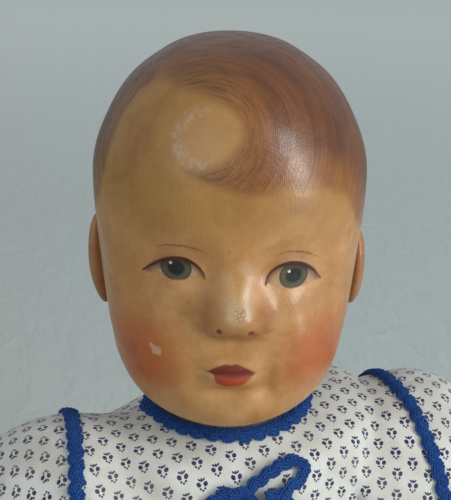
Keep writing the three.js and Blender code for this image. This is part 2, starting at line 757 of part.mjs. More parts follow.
// A point on the front (facing -1) or back (facing 1) of the dress at a height, moved out of the cloth.
function onDress(across, height, facing, out) {
  const radiusAt = (angle) => {
    const column = dressColumn(angle, 0).map((p) => [Math.hypot(p.x, p.y), p.z]);
    const lower = column.findIndex(([, z], i) => i > 0 && z <= height);
    const [[r0, z0], [r1, z1]] = [column[lower - 1], column[lower]];
    return mix(r0, r1, (z0 - height) / (z0 - z1));
  };
  let angle = Math.atan2(across, -facing);
  for (let step = 0; step < 3; step += 1) {
    const reach = radiusAt(angle) + out;
    angle = Math.atan2(across, -facing * Math.sqrt(reach ** 2 - across ** 2));
  }
  const reach = radiusAt(angle) + out;
  return V(reach * Math.sin(angle), -reach * Math.cos(angle), height);
}

// A round tube that joins the dress to each sleeve, wider at the armhole.
function armholeTube(side, shrink, past) {
  const nearRadius = armholeRadius - (trimWidth * 2) / 3;
  const from = V((side * armholePlane * 2) / 3, 0, shoulderHeight);
  const seam = V(side * armholePlane, 0, shoulderHeight);
  const tube = bar(from, seam, nearRadius - shrink, openingPoints, armholeRadius - shrink);
  if (past === 0) return tube;
  return tube.add(bar(seam, seam.clone().add(V(side * past, 0, 0)), armholeRadius - shrink, openingPoints));
}

function buildDress() {
  let dress = dressBell(0);
  let hollow = dressBell(dressWall);
  sides.forEach(([, side]) => {
    dress = dress.add(armholeTube(side, 0, 0));
    hollow = hollow.add(armholeTube(side, dressWall, overrun));
  });
  const neck = bar(V(0, 0, shoulderHeight), V(0, 0, necklineHeight + overrun), necklineRadius, openingPoints);
  addPart("dress_body", dress.subtract(hollow).subtract(neck), "printedCotton");
}

// Crocheted trim
// A ring of scalloped trim round an axis, with its width along the axis.
function trimRing({ centre, axis, start, radius, scallops }) {
  const other = axis.clone().cross(start);
  const steps = 2 * scallops;
  const sections = Array.from({ length: steps }, (unused, i) => {
    const angle = (2 * Math.PI * i) / steps;
    const out = start.clone().multiplyScalar(Math.cos(angle)).addScaledVector(other, Math.sin(angle));
    const reach = trimWidth * mix(0.8, 1, (1 + Math.cos(scallops * angle)) / 2);
    const at = (w, t) => centre.clone().addScaledVector(out, radius + t).addScaledVector(axis, w);
    return [at(0, 0), at(0, trimThickness), at(reach, trimThickness), at(reach, 0)];
  });
  return solid(closedBand(sections));
}

// Trim that lies on the cloth of the yoke, from the neckline down.
function neckTrim() {
  const scallops = dressPoints / 2;
  const sections = Array.from({ length: dressPoints }, (unused, i) => {
    const angle = (2 * Math.PI * i) / dressPoints;
    const [edge, below] = dressColumn(angle, 0);
    const along = below.clone().sub(edge).normalize();
    const outward = V(Math.sin(angle), -Math.cos(angle), 0);
    const up = outward.clone().multiplyScalar(-along.z).add(V(0, 0, along.dot(outward)));
    const reach = trimWidth * mix(0.8, 1, (1 + Math.cos(scallops * angle)) / 2);
    const at = (w, t) => edge.clone().addScaledVector(along, w).addScaledVector(up, t);
    return [at(0, gap), at(0, gap + trimThickness), at(reach, gap + trimThickness), at(reach, gap)];
  });
  return solid(closedBand(sections));
}

function buildDressTrims() {
  addPart("neck_trim", neckTrim(), "blueTrim");
  sides.forEach(([name, side]) => {
    const armhole = {
      centre: V(side * armholePlane, 0, shoulderHeight),
      axis: V(-side, 0, 0),
      start: V(0, 0, 1),
      radius: armholeRadius + gap,
      scallops: 20,
    };
    addPart(`${name}_armhole_trim`, trimRing(armhole), "blueTrim");
  });
  const sections = Array.from({ length: dressPoints }, (unused, i) => {
    const angle = (2 * Math.PI * i) / dressPoints;
    const [above, hem] = dressColumn(angle, -3 * gap).slice(-2);
    const [aboveOut, hemOut] = dressColumn(angle, -3 * gap - trimThickness).slice(-2);
    const share = (2 * trimWidth) / hem.distanceTo(above);
    return [hem, hemOut, hemOut.clone().lerp(aboveOut, share), hem.clone().lerp(above, share)];
  });
  addPart("hem_trim", solid(closedBand(sections)), "blueTrim");
}

// The tie: a bow of crocheted cord on the chest, with two loops and two hanging ends.
// Its rows are places across and up, as shares of the bow's half-width.
const loopShares = [
  [0.04, 0.13],
  [0.45, 0.26],
  [0.86, 0.29],
  [1, 0.02],
  [0.82, -0.26],
  [0.42, -0.24],
  [0.04, -0.13],
];
function buildBow() {
  const out = bowCord / 2 + gap + foldReach / 10;
  const place = (across, up) => onDress(across, bowHeight + up, -1, out);
  const cord = (points, steps) =>
    sweep(
      new THREE.CatmullRomCurve3(points),
      [
        [0, bowCord / 2, bowCord / 2],
        [1, bowCord / 2, bowCord / 2],
      ],
      V(0, 1, 0.01),
      [6, steps],
    );
  let bow = ball(place(0, 0).add(V(0, -bowCord / 2, 0)), bowCord * 0.9, discPoints);
  sides.forEach(([, side]) => {
    const loop = loopShares.map(([across, up]) => place(side * across * bowHalfWidth, up * bowHalfWidth));
    bow = bow.add(cord(loop, 9));
    const end = [0, 0.35, 0.7, 1].map((along) => place((side * along * bowTail) / 3, -along * bowTail));
    bow = bow.add(cord(end, 3));
  });
  addPart("neck_bow", bow, "blueTrim");
}

const buttonShares = [0.92, 0.79, 0.66]; // of the neckline's height
function buildButtons() {
  buttonShares.forEach((share, i) => {
    const height = share * necklineHeight;
    const seat = [-1, 0, 1].map((step) => onDress(0, height + step * buttonRadius, 1, gap));
    const depth = Math.max(...seat.map((p) => p.y));
    const button = bar(V(0, depth, height), V(0, depth + buttonWall, height), buttonRadius, discPoints);
    addPart(`back_button_${i + 1}`, button, "button");
  });
}

// Sleeve: round where it meets the armhole, so that it turns there with the arm.
// Rows are [share of the way, share of the armhole's radius].
const cuffShare = 0.74; // of the way down the arm
const cuffRadius = armRadius * sample(armShares, cuffShare)[0] + 2 * gap + dressWall;
const sleeveShares = [
  [0, 1],
  [0.25, 1],
  [0.5, 0.88],
  [0.78, 0.66],
  [0.94, 0.5],
  [1, 0.47],
];
function sleeveFrame(side) {
  const line = armLine(side);
  const start = V(side * (armholePlane + gap), 0, shoulderHeight);
  const cuff = line.getPointAt(cuffShare);
  const bulge = start.clone().add(V((side * armholeRadius * 2) / 3, 0, -armholeRadius / 5));
  return { curve: new THREE.QuadraticBezierCurve3(start, bulge, cuff), cuff, along: line.getTangentAt(cuffShare) };
}

function sleeveTube(side, shrink, past) {
  const { curve, cuff, along } = sleeveFrame(side);
  const [around, rows] = sleeveFacets;
  const back = V(0, 1, 0);
  const rings = Array.from({ length: rows + 1 }, (unused, k) => {
    const share = k / rows;
    const axis = V(side, 0, 0).lerp(along, share).normalize();
    const [radiusShare] = sample(sleeveShares, share);
    const radius = mix(radiusShare * armholeRadius, cuffRadius, smooth(0.8, 1, share)) - shrink;
    const centre = curve.getPoint(share);
    if (k === 0) centre.addScaledVector(axis, -past);
    if (k === rows) centre.copy(cuff).addScaledVector(axis, past);
    const depth = back.clone().addScaledVector(axis, -back.dot(axis)).normalize();
    const rise = depth.clone().cross(axis);
    return Array.from({ length: around }, (each, i) => {
      const angle = (2 * Math.PI * i) / around;
      return centre
        .clone()
        .addScaledVector(depth, radius * Math.cos(angle))
        .addScaledVector(rise, radius * Math.sin(angle));
    });
  });
  return solid(loft(rings));
}

function buildSleeve(name, side) {
  const { cuff, along } = sleeveFrame(side);
  addPart(`${name}_sleeve`, sleeveTube(side, 0, 0).subtract(sleeveTube(side, dressWall, gap)), "printedCotton");
  const edging = {
    centre: cuff.clone().addScaledVector(along, gap),
    axis: along,
    start: V(0, 1, 0).addScaledVector(along, -along.y).normalize(),
    radius: cuffRadius - dressWall,
    scallops: 12,
  };
  addPart(`${name}_cuff_trim`, trimRing(edging), "blueTrim");
}

// Bloomers: a seat round the torso's foot, and a leg round each thigh that turns with it.
const bloomersLegShare = 0.42; // of the way down the leg

function buildBloomers() {
  let seat = torsoBody(-gap - dressWall).subtract(torsoBody(-gap));
  const reach = torsoHalfWidth + torsoHalfDepth;
  seat = seat.subtract(boxBetween(V(-reach, -reach, waistHeight), V(reach, reach, torsoHeight + overrun)));
  sides.forEach(([, side]) => {
    seat = seat.subtract(flankBeyond(side, hipPlane, hipHeight + hipRoom));
  });
  addPart("bloomers_seat", seat, "printedCotton");
}

function buildBloomersLeg(name, side) {
  const line = legLine(side);
  const end = line.getPointAt(bloomersLegShare);
  const along = line.getTangentAt(bloomersLegShare);
  const facets = [limbFacets[0], 7];
  const ease = bloomersEase;
  let cloth = legBody(side, ease + dressWall, facets, false).subtract(legBody(side, ease, facets, false));
  cloth = cloth.subtract(bar(end, end.clone().addScaledVector(along, 2 * legReach), 3 * thighRadius, 6));
  addPart(`${name}_bloomers_leg`, cloth, "printedCotton");
  const [half] = sample(legShares, bloomersLegShare);
  const edging = {
    centre: end.clone().addScaledVector(along, gap),
    axis: along,
    start: V(0, 0, 1).addScaledVector(along, -along.z).normalize(),
    radius: half * thighRadius + ease + gap,
    scallops: 14,
  };
  addPart(`${name}_leg_trim`, trimRing(edging), "blueTrim");
}

buildTorso();
buildNeck();
buildHead();
buildBloomers();
buildDress();
buildDressTrims();
buildBow();
buildButtons();
sides.forEach(([name, side]) => {
  buildArm(name, side);
  buildLeg(name, side);
  buildSleeve(name, side);
  buildBloomersLeg(name, side);
});

export default doll;
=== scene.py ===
# A seated cloth doll: painted head, muslin limbs, calico dress with blue crocheted trim.
import json
import math

import bmesh
import bpy
import numpy as np
from mathutils import Matrix, Vector
from mathutils.bvhtree import BVHTree


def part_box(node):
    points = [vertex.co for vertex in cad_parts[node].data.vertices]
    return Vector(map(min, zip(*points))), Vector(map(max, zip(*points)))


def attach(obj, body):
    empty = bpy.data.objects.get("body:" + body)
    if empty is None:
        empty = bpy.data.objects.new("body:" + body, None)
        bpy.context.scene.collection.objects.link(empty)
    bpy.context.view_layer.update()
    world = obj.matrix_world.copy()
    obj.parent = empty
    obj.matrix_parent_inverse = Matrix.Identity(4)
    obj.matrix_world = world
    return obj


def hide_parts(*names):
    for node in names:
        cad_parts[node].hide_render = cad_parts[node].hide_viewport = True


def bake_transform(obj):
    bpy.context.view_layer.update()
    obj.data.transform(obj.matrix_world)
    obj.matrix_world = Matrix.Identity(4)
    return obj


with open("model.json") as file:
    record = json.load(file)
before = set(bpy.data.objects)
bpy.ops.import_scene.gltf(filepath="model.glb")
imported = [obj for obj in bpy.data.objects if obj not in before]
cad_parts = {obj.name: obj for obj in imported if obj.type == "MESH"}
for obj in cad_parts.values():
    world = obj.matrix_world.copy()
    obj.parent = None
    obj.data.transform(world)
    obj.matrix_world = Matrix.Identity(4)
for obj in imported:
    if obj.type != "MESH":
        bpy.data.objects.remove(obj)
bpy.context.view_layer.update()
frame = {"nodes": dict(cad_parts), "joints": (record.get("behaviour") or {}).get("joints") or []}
joints = {joint["name"]: joint for joint in frame["joints"]}
mm = 0.001
print("frame loaded,", len(frame["nodes"]), "pieces")

# camera, floor and light

view = {
    "place": (-0.1322, -0.3981, 0.3978),  # a little under half a metre from the face
    "turn": (68.34, -0.93, -17.84),  # degrees
    "lens": 80.6,  # over a 36 mm sensor on the long side
}


def addCamera():
    data = bpy.data.cameras.new("camera")
    data.sensor_width = 36
    data.lens = view["lens"]
    data.clip_start = 0.01
    camera = bpy.data.objects.new("camera", data)
    camera.location = view["place"]
    camera.rotation_euler = [math.radians(angle) for angle in view["turn"]]
    bpy.context.scene.collection.objects.link(camera)
    bpy.context.scene.camera = camera


room = {
    # painted light: the floor is paler on the window side and darker on the other side
    "floorLitTone": "#c6d0ce",  # on the side of the window
    "floorShade": "#bbc0b2",
    "farTone": "#e6f0e8",
    "farGlow": 0.17,  # keeps the floor as pale far away as near the doll
    "floorReach": 8.0,
    "worldTone": (0.9, 0.95, 1.0, 1),
    "worldStrength": 0.42,
    "lampAim": (0, 0, 0.2),
    "windowPlace": (0.72, -0.85, 0.56),
    "windowSize": (0.32, 1.0),
    "windowPower": 10.5,
    "fillPlace": (-0.9, -0.9, 0.9),
    "fillSize": 1.2,
    "fillPower": 5,
}


def addLamp(name, place, size, power):
    data = bpy.data.lights.new(name, "AREA")
    data.shape = "RECTANGLE"
    data.size, data.size_y = size
    data.energy = power
    lamp = bpy.data.objects.new(name, data)
    lamp.location = place
    lamp.rotation_euler = (Vector(room["lampAim"]) - Vector(place)).to_track_quat("-Z", "Y").to_euler()
    bpy.context.scene.collection.objects.link(lamp)


def addLights():
    addLamp("windowLight", room["windowPlace"], room["windowSize"], room["windowPower"])
    addLamp("fillLight", room["fillPlace"], (room["fillSize"], room["fillSize"]), room["fillPower"])
    world = bpy.data.worlds.new("studio")
    world.use_nodes = True
    sky = world.node_tree.nodes["Background"]
    sky.inputs["Color"].default_value = room["worldTone"]
    sky.inputs["Strength"].default_value = room["worldStrength"]
    bpy.context.scene.world = world
    bpy.context.scene.view_settings.view_transform = "Standard"


# small tools for shader trees


def tone(code):
    levels = [int(code[i : i + 2], 16) / 255 for i in (1, 3, 5)]
    linear = [v / 12.92 if v <= 0.04045 else ((v + 0.055) / 1.055) ** 2.4 for v in levels]
    return (*linear, 1)


class Wiring:
    # adds nodes to one tree and joins them; a value is a number, a colour or another node's socket
    def __init__(self, tree):
        self.tree = tree

    def node(self, kind, **settings):
        made = self.tree.nodes.new(kind)
        for key, value in settings.items():
            setattr(made, key, value)
        return made

    def feed(self, socket, value):
        if isinstance(value, bpy.types.NodeSocket):
            self.tree.links.new(value, socket)
        else:
            socket.default_value = value

    def math(self, operation, *values):
        made = self.node("ShaderNodeMath", operation=operation)
        for socket, value in zip(made.inputs, values):
            self.feed(socket, value)
        return made.outputs[0]

    def times(self, a, b):
        return self.math("MULTIPLY", a, b)

    def plus(self, a, b):
        return self.math("ADD", a, b)

    def minus(self, a, b):
        return self.math("SUBTRACT", a, b)

    def apart(self, across, x, height, z):
        # how far a place on the face is from one point of it
        return self.vector("LENGTH", self.join(self.minus(across, x), self.minus(height, z)))

    def vector(self, operation, *values):
        made = self.node("ShaderNodeVectorMath", operation=operation)
        for socket, value in zip(made.inputs, values):
            self.feed(socket, value)
        return made.outputs["Value" if operation in ("LENGTH", "DOT_PRODUCT") else "Vector"]

    def step(self, value, low, high, start=0.0, end=1.0):
        made = self.node("ShaderNodeMapRange", interpolation_type="SMOOTHSTEP")
        for name, given in zip(("Value", "From Min", "From Max", "To Min", "To Max"),
                               (value, low, high, start, end)):
            self.feed(made.inputs[name], given)
        return made.outputs["Result"]

    def mix(self, factor, under, over, mode="MIX"):
        made = self.node("ShaderNodeMix", data_type="RGBA", blend_type=mode)
        self.feed(made.inputs[0], factor)
        self.feed(made.inputs[6], under)
        self.feed(made.inputs[7], over)
        return made.outputs[2]

    def noise(self, place, scale, detail=2.0, rough=0.5, warp=0.0):
        made = self.node("ShaderNodeTexNoise")
        self.feed(made.inputs["Vector"], place)
        for name, value in (("Scale", scale), ("Detail", detail), ("Roughness", rough), ("Distortion", warp)):
            self.feed(made.inputs[name], value)
        return made.outputs["Fac"]

    def attribute(self, name, output="Fac"):
        return self.node("ShaderNodeAttribute", attribute_name=name).outputs[output]

    def objectPlace(self):
        return self.node("ShaderNodeTexCoord").outputs["Object"]

    def join(self, x, y, z=0.0):
        made = self.node("ShaderNodeCombineXYZ")
        for socket, value in zip(made.inputs, (x, y, z)):
            self.feed(socket, value)
        return made.outputs[0]

    def split(self, vector):
        made = self.node("ShaderNodeSeparateXYZ")
        self.feed(made.inputs[0], vector)
        return made.outputs

    def bump(self, height, strength, distance, normal=None):
        made = self.node("ShaderNodeBump")
        self.feed(made.inputs["Height"], height)
        made.inputs["Strength"].default_value = strength
        made.inputs["Distance"].default_value = distance
        if normal:
            self.feed(made.inputs["Normal"], normal)
        return made.outputs[0]

    def group(self, tree, **values):
        made = self.node("ShaderNodeGroup", node_tree=tree)
        for name, value in values.items():
            self.feed(made.inputs[name], value)
        return made.outputs


def newMaterial(name, roughness=0.8, **plain):
    material = bpy.data.materials.new(name)
    material.use_nodes = True
    wire = Wiring(material.node_tree)
    shader = material.node_tree.nodes["Principled BSDF"]
    shader.inputs["Roughness"].default_value = roughness
    for key, value in plain.items():
        shader.inputs[key].default_value = value
    return material, wire, shader


def newGroup(name, inputs, outputs):
    tree = bpy.data.node_groups.new(name, "ShaderNodeTree")
    for socketName, kind, value in inputs:
        socket = tree.interface.new_socket(socketName, in_out="INPUT", socket_type="NodeSocket" + kind)
        if value is not None:
            socket.default_value = value
    for socketName, kind in outputs:
        tree.interface.new_socket(socketName, in_out="OUTPUT", socket_type="NodeSocket" + kind)
    wire = Wiring(tree)
    return tree, wire, wire.node("NodeGroupInput").outputs, wire.node("NodeGroupOutput").inputs


def weaveGroup():
    # threads over and under each other: a height, and a shade that differs from thread to thread
    tree, wire, given, made = newGroup(
        "plainWeave",
        [("Place", "Vector", None), ("Threads per unit", "Float", 1.0), ("Uneven", "Float", 0.5)],
        [("Height", "Float"), ("Shade", "Float")],
    )
    across, up, _ = wire.split(given["Place"])
    waves = []
    for value in (across, up):
        turn = wire.times(value, wire.times(given["Threads per unit"], 2 * math.pi))
        wobble = wire.noise(given["Place"], wire.times(given["Threads per unit"], 0.12), 2)
        turn = wire.plus(turn, wire.times(wobble, 2.5))
        waves.append(wire.math("COSINE", turn))
    both = wire.times(waves[0], waves[1])
    ribs = wire.times(wire.plus(waves[0], waves[1]), 0.25)
    height = wire.plus(wire.times(both, 0.25), ribs)
    wire.feed(made["Height"], wire.plus(height, 0.5))
    slub = wire.noise(
        wire.vector("MULTIPLY", given["Place"], (1.0, 0.12, 1.0)),
        wire.times(given["Threads per unit"], 0.6),
        2,
    )
    shade = wire.times(wire.minus(slub, 0.5), given["Uneven"])
    wire.feed(made["Shade"], wire.plus(shade, 1.0))
    return tree


def soilingGroup():
    # slow, cloudy change of tone from years of handling
    tree, wire, given, made = newGroup(
        "handling",
        [("Place", "Vector", None), ("Size", "Float", 30.0), ("Amount", "Float", 0.3)],
        [("Mask", "Float")],
    )
    cloud = wire.noise(given["Place"], wire.math("DIVIDE", 1.0, given["Size"]), 5, 0.6, 0.4)
    mask = wire.times(wire.step(cloud, 0.42, 0.72), given["Amount"])
    wire.feed(made["Mask"], mask)
    return tree


# small tools for meshes; sizes are in millimetres until a mesh is made


def sampleRows(rows, stations):
    # a smooth curve through a table: column 0 is the station, the others are the values there
    rows = np.array(rows, float)
    x, values = rows[:, 0], rows[:, 1:]
    slopes = np.empty_like(values)
    slopes[1:-1] = (values[2:] - values[:-2]) / (x[2:] - x[:-2])[:, None]
    slopes[0] = (values[1] - values[0]) / (x[1] - x[0])
    slopes[-1] = (values[-1] - values[-2]) / (x[-1] - x[-2])
    stations = np.clip(np.atleast_1d(stations), x[0], x[-1])
    i = np.clip(np.searchsorted(x, stations, "right") - 1, 0, len(x) - 2)
    span = (x[i + 1] - x[i])[:, None]
    t = (stations - x[i])[:, None] / span
    return (
        values[i] * (2 * t**3 - 3 * t**2 + 1)
        + slopes[i] * span * (t**3 - 2 * t**2 + t)
        + values[i + 1] * (3 * t**2 - 2 * t**3)
        + slopes[i + 1] * span * (t**3 - t**2)
    )


def smooth(low, high, x):
    t = np.clip((x - low) / (high - low), 0, 1)
    return t * t * (3 - 2 * t)


def powered(value, power):
    return np.sign(value) * np.abs(value) ** power


def turns(count):
    return 2 * np.pi * np.arange(count) / count


def unit(vectors):
    return vectors / np.linalg.norm(vectors, axis=-1, keepdims=True)


def bell(x, reach):
    return np.exp(-((x / reach) ** 2) / 2)


def gridFaces(rows, columns):
    i, j = np.meshgrid(np.arange(rows - 1), np.arange(columns), indexing="ij")
    a = i * columns + j
    b = i * columns + (j + 1) % columns
    return np.stack([a, b, b + columns, a + columns], -1).reshape(-1, 4)


def newMesh(name, points, faces, material):
    mesh = bpy.data.meshes.new(name)
    mesh.from_pydata((np.asarray(points) * mm).tolist(), [], [list(face) for face in faces])
    mesh.validate()
    mesh.materials.append(material)
    mesh.shade_smooth()
    made = bpy.data.objects.new(name, mesh)
    bpy.context.scene.collection.objects.link(made)
    return made


def closedLoft(name, rings, material):
    # a closed skin through rings of points, with a fan over each end
    rings = np.asarray(rings)
    count = rings.shape[1]
    points = np.vstack([rings.reshape(-1, 3), rings[0].mean(0), rings[-1].mean(0)])
    faces = gridFaces(len(rings), count).tolist()
    last = (len(rings) - 1) * count
    for i in range(count):
        following = (i + 1) % count
        faces.append([len(points) - 2, following, i])
        faces.append([len(points) - 1, last + i, last + following])
    made = newMesh(name, points, faces, material)
    turnOutward(made)
    return made


def turnOutward(made):
    work = bmesh.new()
    work.from_mesh(made.data)
    bmesh.ops.recalc_face_normals(work, faces=work.faces)
    if work.calc_volume(signed=True) < 0:
        bmesh.ops.reverse_faces(work, faces=work.faces)
    work.to_mesh(made.data)
    work.free()


def setValues(made, name, values):
    kind = "FLOAT" if np.ndim(values) == 1 else "FLOAT_VECTOR"
    attribute = made.data.attributes.new(name, kind, "POINT")
    key = "value" if kind == "FLOAT" else "vector"
    attribute.data.foreach_set(key, np.asarray(values, np.float32).ravel())


def pointsOf(made):
    flat = np.empty(len(made.data.vertices) * 3)
    made.data.vertices.foreach_get("co", flat)
    return flat.reshape(-1, 3) / mm


def movePoints(made, points):
    made.data.vertices.foreach_set("co", (np.asarray(points) * mm).ravel())
    made.data.update()


def applyModifiers(made):
    depsgraph = bpy.context.evaluated_depsgraph_get()
    mesh = bpy.data.meshes.new_from_object(made.evaluated_get(depsgraph), depsgraph=depsgraph)
    made.modifiers.clear()
    old = made.data
    made.data = mesh
    bpy.data.meshes.remove(old)
    mesh.name = made.name


def lineDistance(places, line):
    # how far each place is from a line of points, and the share of the line's length that is nearest
    line = np.array(line, float)
    best = np.full(len(places), 1e9)
    share = np.zeros(len(places))
    lengths = np.linalg.norm(np.diff(line, axis=0), axis=1)
    total, done = lengths.sum(), 0.0
    for start, end, length in zip(line[:-1], line[1:], lengths):
        if length == 0:
            continue
        along = np.clip(((places - start) @ (end - start)) / length**2, 0, 1)
        distance = np.linalg.norm(start + along[:, None] * (end - start) - places, axis=1)
        nearer = distance < best
        best[nearer] = distance[nearer]
        share[nearer] = (done + along[nearer] * length) / total
        done += length
    return best, share


def insideDistance(places, outline):
    # distance to a closed outline, positive inside it
    outline = np.array(outline, float)
    closed = np.vstack([outline, outline[:1]])
    distance, _ = lineDistance(places, closed)
    inside = np.zeros(len(places), bool)
    for (x0, y0), (x1, y1) in zip(closed[:-1], closed[1:]):
        crosses = (y0 > places[:, 1]) != (y1 > places[:, 1])
        if y1 != y0:
            inside ^= crosses & (places[:, 0] < (x1 - x0) * (places[:, 1] - y0) / (y1 - y0) + x0)
    return np.where(inside, distance, -distance)


def curveThrough(points, count):
    # a rounder line through a few points
    points = np.array(points, float)
    lengths = np.r_[0, np.cumsum(np.linalg.norm(np.diff(points, axis=0), axis=1))]
    rows = np.c_[lengths, points]
    return sampleRows(rows, np.linspace(0, lengths[-1], count))


# painted head

head = {
    "width": 109,
    "height": 141,
    "depth": 128,
    "back": 7,  # how far the middle lies behind the neck
    "chinRise": 7,  # the chin over the middle of the neck
    "turn": -18,  # degrees, to the doll's right
    "around": 300,
    "faceCrowding": 0.5,
    "skin": "#ad7a42",
    "skinYellow": "#a2783a",
    "skinPale": "#c1935c",
    "blush": "#b0530f",
    "hair": "#70431f",
    "hairDark": "#50301b",
    "hairRed": "#7d4823",
}
# height share, half-width share, front share, back share, squareness
headRows = [
    (-0.605, 0.34, 0.25, 0.17, 2), (-0.593, 0.54, 0.355, 0.21, 2), (-0.558, 0.72, 0.418, 0.25, 2.1),
    (-0.485, 0.83, 0.435, 0.29, 2.2), (-0.39, 0.88, 0.435, 0.35, 2.3),
    (-0.28, 0.92, 0.435, 0.41, 2.3), (-0.14, 0.96, 0.435, 0.47, 2.2), (0, 0.99, 0.445, 0.505, 2.15),
    (0.1, 0.98, 0.445, 0.515, 2.1), (0.2, 0.89, 0.42, 0.49, 2.1), (0.3, 0.73, 0.355, 0.42, 2),
    (0.365, 0.52, 0.265, 0.315, 2), (0.4, 0.34, 0.165, 0.195, 2), (0.415, 0.12, 0.055, 0.065, 2),
]
# modelled forms of the face: across, height, across reach, height reach, relief
faceForms = [
    (-7.0, -33.2, 3.4, 3.4, 0.7), (13.0, -33.6, 3.4, 3.4, 0.7), (2.2, -42.0, 1.8, 4.0, -0.5),
    (22.0, -30.0, 3.6, 5.0, 0.8), (26.5, -38.0, 3.2, 6.0, 0.9), (29.0, -46.0, 3.2, 6.0, 0.7),
    (1.5, -52.0, 14.0, 9.5, 3.4), (-1.4, -52.0, 3.2, 1.6, 0.8), (4.4, -52.0, 3.2, 1.6, 0.8),
    (1.6, -57.4, 5.2, 2.3, 2.1), (1.6, -54.7, 7.0, 0.8, -0.6), (1.6, -63.5, 9.0, 2.4, -2.6),
    (1.5, -74.0, 14.0, 8.0, 1.3), (-31.0, -48.0, 12.0, 12.0, 3.2), (32.0, -48.0, 12.0, 12.0, 3.2),
    (24.5, -27.0, 9.0, 3.0, 0.6), (-20.0, -25.0, 9.0, 3.0, 0.5), (-20.0, -13.0, 10.5, 6.0, -2.6),
    (23.5, -15.5, 10.5, 6.0, -2.6), (-19.6, -16.6, 6.0, 3.8, 1.2), (23.6, -19.0, 6.0, 3.8, 1.2),
    (-7.5, -18.5, 4.0, 5.0, -0.7), (13.5, -19.0, 4.0, 5.0, -0.7), (14.8, -60.5, 3.0, 7.5, -2.6),
    (-11.5, -58.0, 3.0, 6.0, -1.2),
]
# the nose from the lip up: height, half-width, relief, squareness
noseRows = [
    (-44.5, 9.5, 0.0, 2.2), (-42.0, 10.0, 0.6, 2.3), (-39.5, 10.6, 3.0, 2.5), (-37.0, 11.0, 6.4, 2.6),
    (-34.0, 11.0, 9.2, 2.6), (-30.5, 10.7, 10.4, 2.5), (-26.5, 10.2, 9.0, 2.3), (-22.0, 9.8, 6.2, 2.0),
    (-16.0, 9.6, 3.6, 2.0), (-10.0, 9.6, 1.9, 2.0), (-4.0, 9.4, 0.6, 2.0), (2.0, 9.0, 0.0, 2.0),
]
# painted lines and shapes: across and height from the head's middle
eyes = {
    "left": {
        "lid": [(-31.6, -18.8), (-28.9, -16.4), (-25.1, -13.9), (-20.3, -12.1), (-15.5, -11.9), (-11.5, -13.9),
                (-9.2, -16.5), (-8.8, -18.3)],
        "low": [(-8.9, -17.7), (-12.9, -18.9), (-19.1, -20.1), (-25.9, -19.8), (-31.6, -18.8)],
        "iris": (-19.2, -15.5, 5.7, 4.7),
        "glints": [(-21.2, -13.9, 0.6)],
        "brow": [(-26.4, -8.5), (-22.8, -7.1), (-19.2, -6.6), (-13.6, -6.8), (-7.2, -8.7)],
    },
    "right": {
        "lid": [(13.4, -20.3), (14.4, -17.1), (17.5, -14.6), (22.2, -13.6), (27.2, -14.9), (31.1, -17.8),
                (34.0, -21.7)],
        "low": [(34.0, -21.7), (29.0, -22.6), (23.7, -23.1), (18.1, -21.9), (13.5, -19.8)],
        "iris": (23.7, -18.4, 5.3, 4.7),
        "glints": [(22.0, -16.8, 0.55)],
        "brow": [(16.0, -10.1), (19.4, -8.9), (22.0, -8.7), (27.7, -10.1), (33.4, -13.5)],
    },
}
lips = {
    "outline": [(-7.3, -53.9), (-4.0, -51.6), (-0.6, -50.3), (1.4, -50.5), (3.6, -50.3), (6.9, -51.8),
                (10.2, -54.9), (8.4, -56.6), (6.6, -58.4), (4.4, -59.7), (1.4, -60.3), (-1.8, -59.6),
                (-4.2, -57.8), (-5.0, -55.4)],
    "line": [(-7.6, -53.9), (-4.0, -54.5), (1.5, -55.1), (6.0, -55.0), (10.4, -54.9)],
}
# hairline: degrees round from the front, height
hairline = [
    (-140, -62), (-100, -60), (-92, -30), (-80, -14), (-68, -4), (-60, 6), (-57, 14), (-57, 24), (-57, 33),
    (-55, 42), (-50, 47), (-40, 47.2), (-30, 46.6), (-20, 45.8), (-12, 44.8), (-5, 43.3), (0.5, 40.6),
    (3.6, 37.8), (4.6, 34.8), (3.4, 31.6), (0.6, 28.6), (-3.6, 25.6), (-8, 23.8), (-13, 23.0), (-18, 22.6),
    (-15, 20.2), (-9.4, 17.6), (1, 14.4), (8, 13.2), (15, 14.0), (22, 15.8), (28, 13.4), (39, 12), (49, 7),
    (60, -6), (72, -12), (92, -30), (100, -60), (150, -64), (180, -65), (220, -62), (260, -60),
    (268, -30), (280, -14), (292, -4), (300, 6),
]
paintChips = [
    (-26.3, -48.6, 1.9, "#c9b49a"), (-28.4, -46.8, 0.9, "#c9b49a"), (23.7, -56.0, 0.45, "#5a3320"),
    (-0.2, -7.0, 0.35, "#4a3018"), (-27.5, -57.5, 0.45, "#6e3a20"),
]
curl = {"middle": (-9.6, 31.5), "ringRadius": 9.6}


def headMatrix():
    place = Vector(joints["head_turn"]["pos_m"]) / mm
    middle = Vector((0, head["back"], head["chinRise"] - headRows[0][0] * head["height"]))
    turn = Matrix.Rotation(math.radians(head["turn"]), 4, "Z")
    return Matrix.Translation(place) @ turn @ Matrix.Translation(middle)


def inWorld(places):
    matrix = np.array(headMatrix())
    return places @ matrix[:3, :3].T + matrix[:3, 3]


def faceRelief(across, height):
    relief = np.zeros_like(across)
    for x, z, wide, tall, out in faceForms:
        relief += out * bell(across - x, wide) * bell(height - z, tall)
    half, out, square = sampleRows(noseRows, height).T
    relief += out * np.exp(-np.abs((across - 2.9) / half) ** square) * ((height > -44.5) & (height < 2))
    for x, z in ((-3.1, -36.6), (8.4, -37.4)):
        relief -= 0.9 * bell(across - x, 1.1) * bell(height - z, 0.9)
    for eye in eyes.values():
        distance, share = lineDistance(np.c_[across, height], curveThrough(eye["lid"], 24))
        above = np.where(height > np.interp(across, *lidCurve(eye)), 1.0, 0.35)
        arc = np.sin(np.pi * np.clip(share, 0.05, 0.95)) ** 0.5
        relief += 0.55 * np.exp(-((distance / 1.3) ** 2)) * above * arc
    return relief


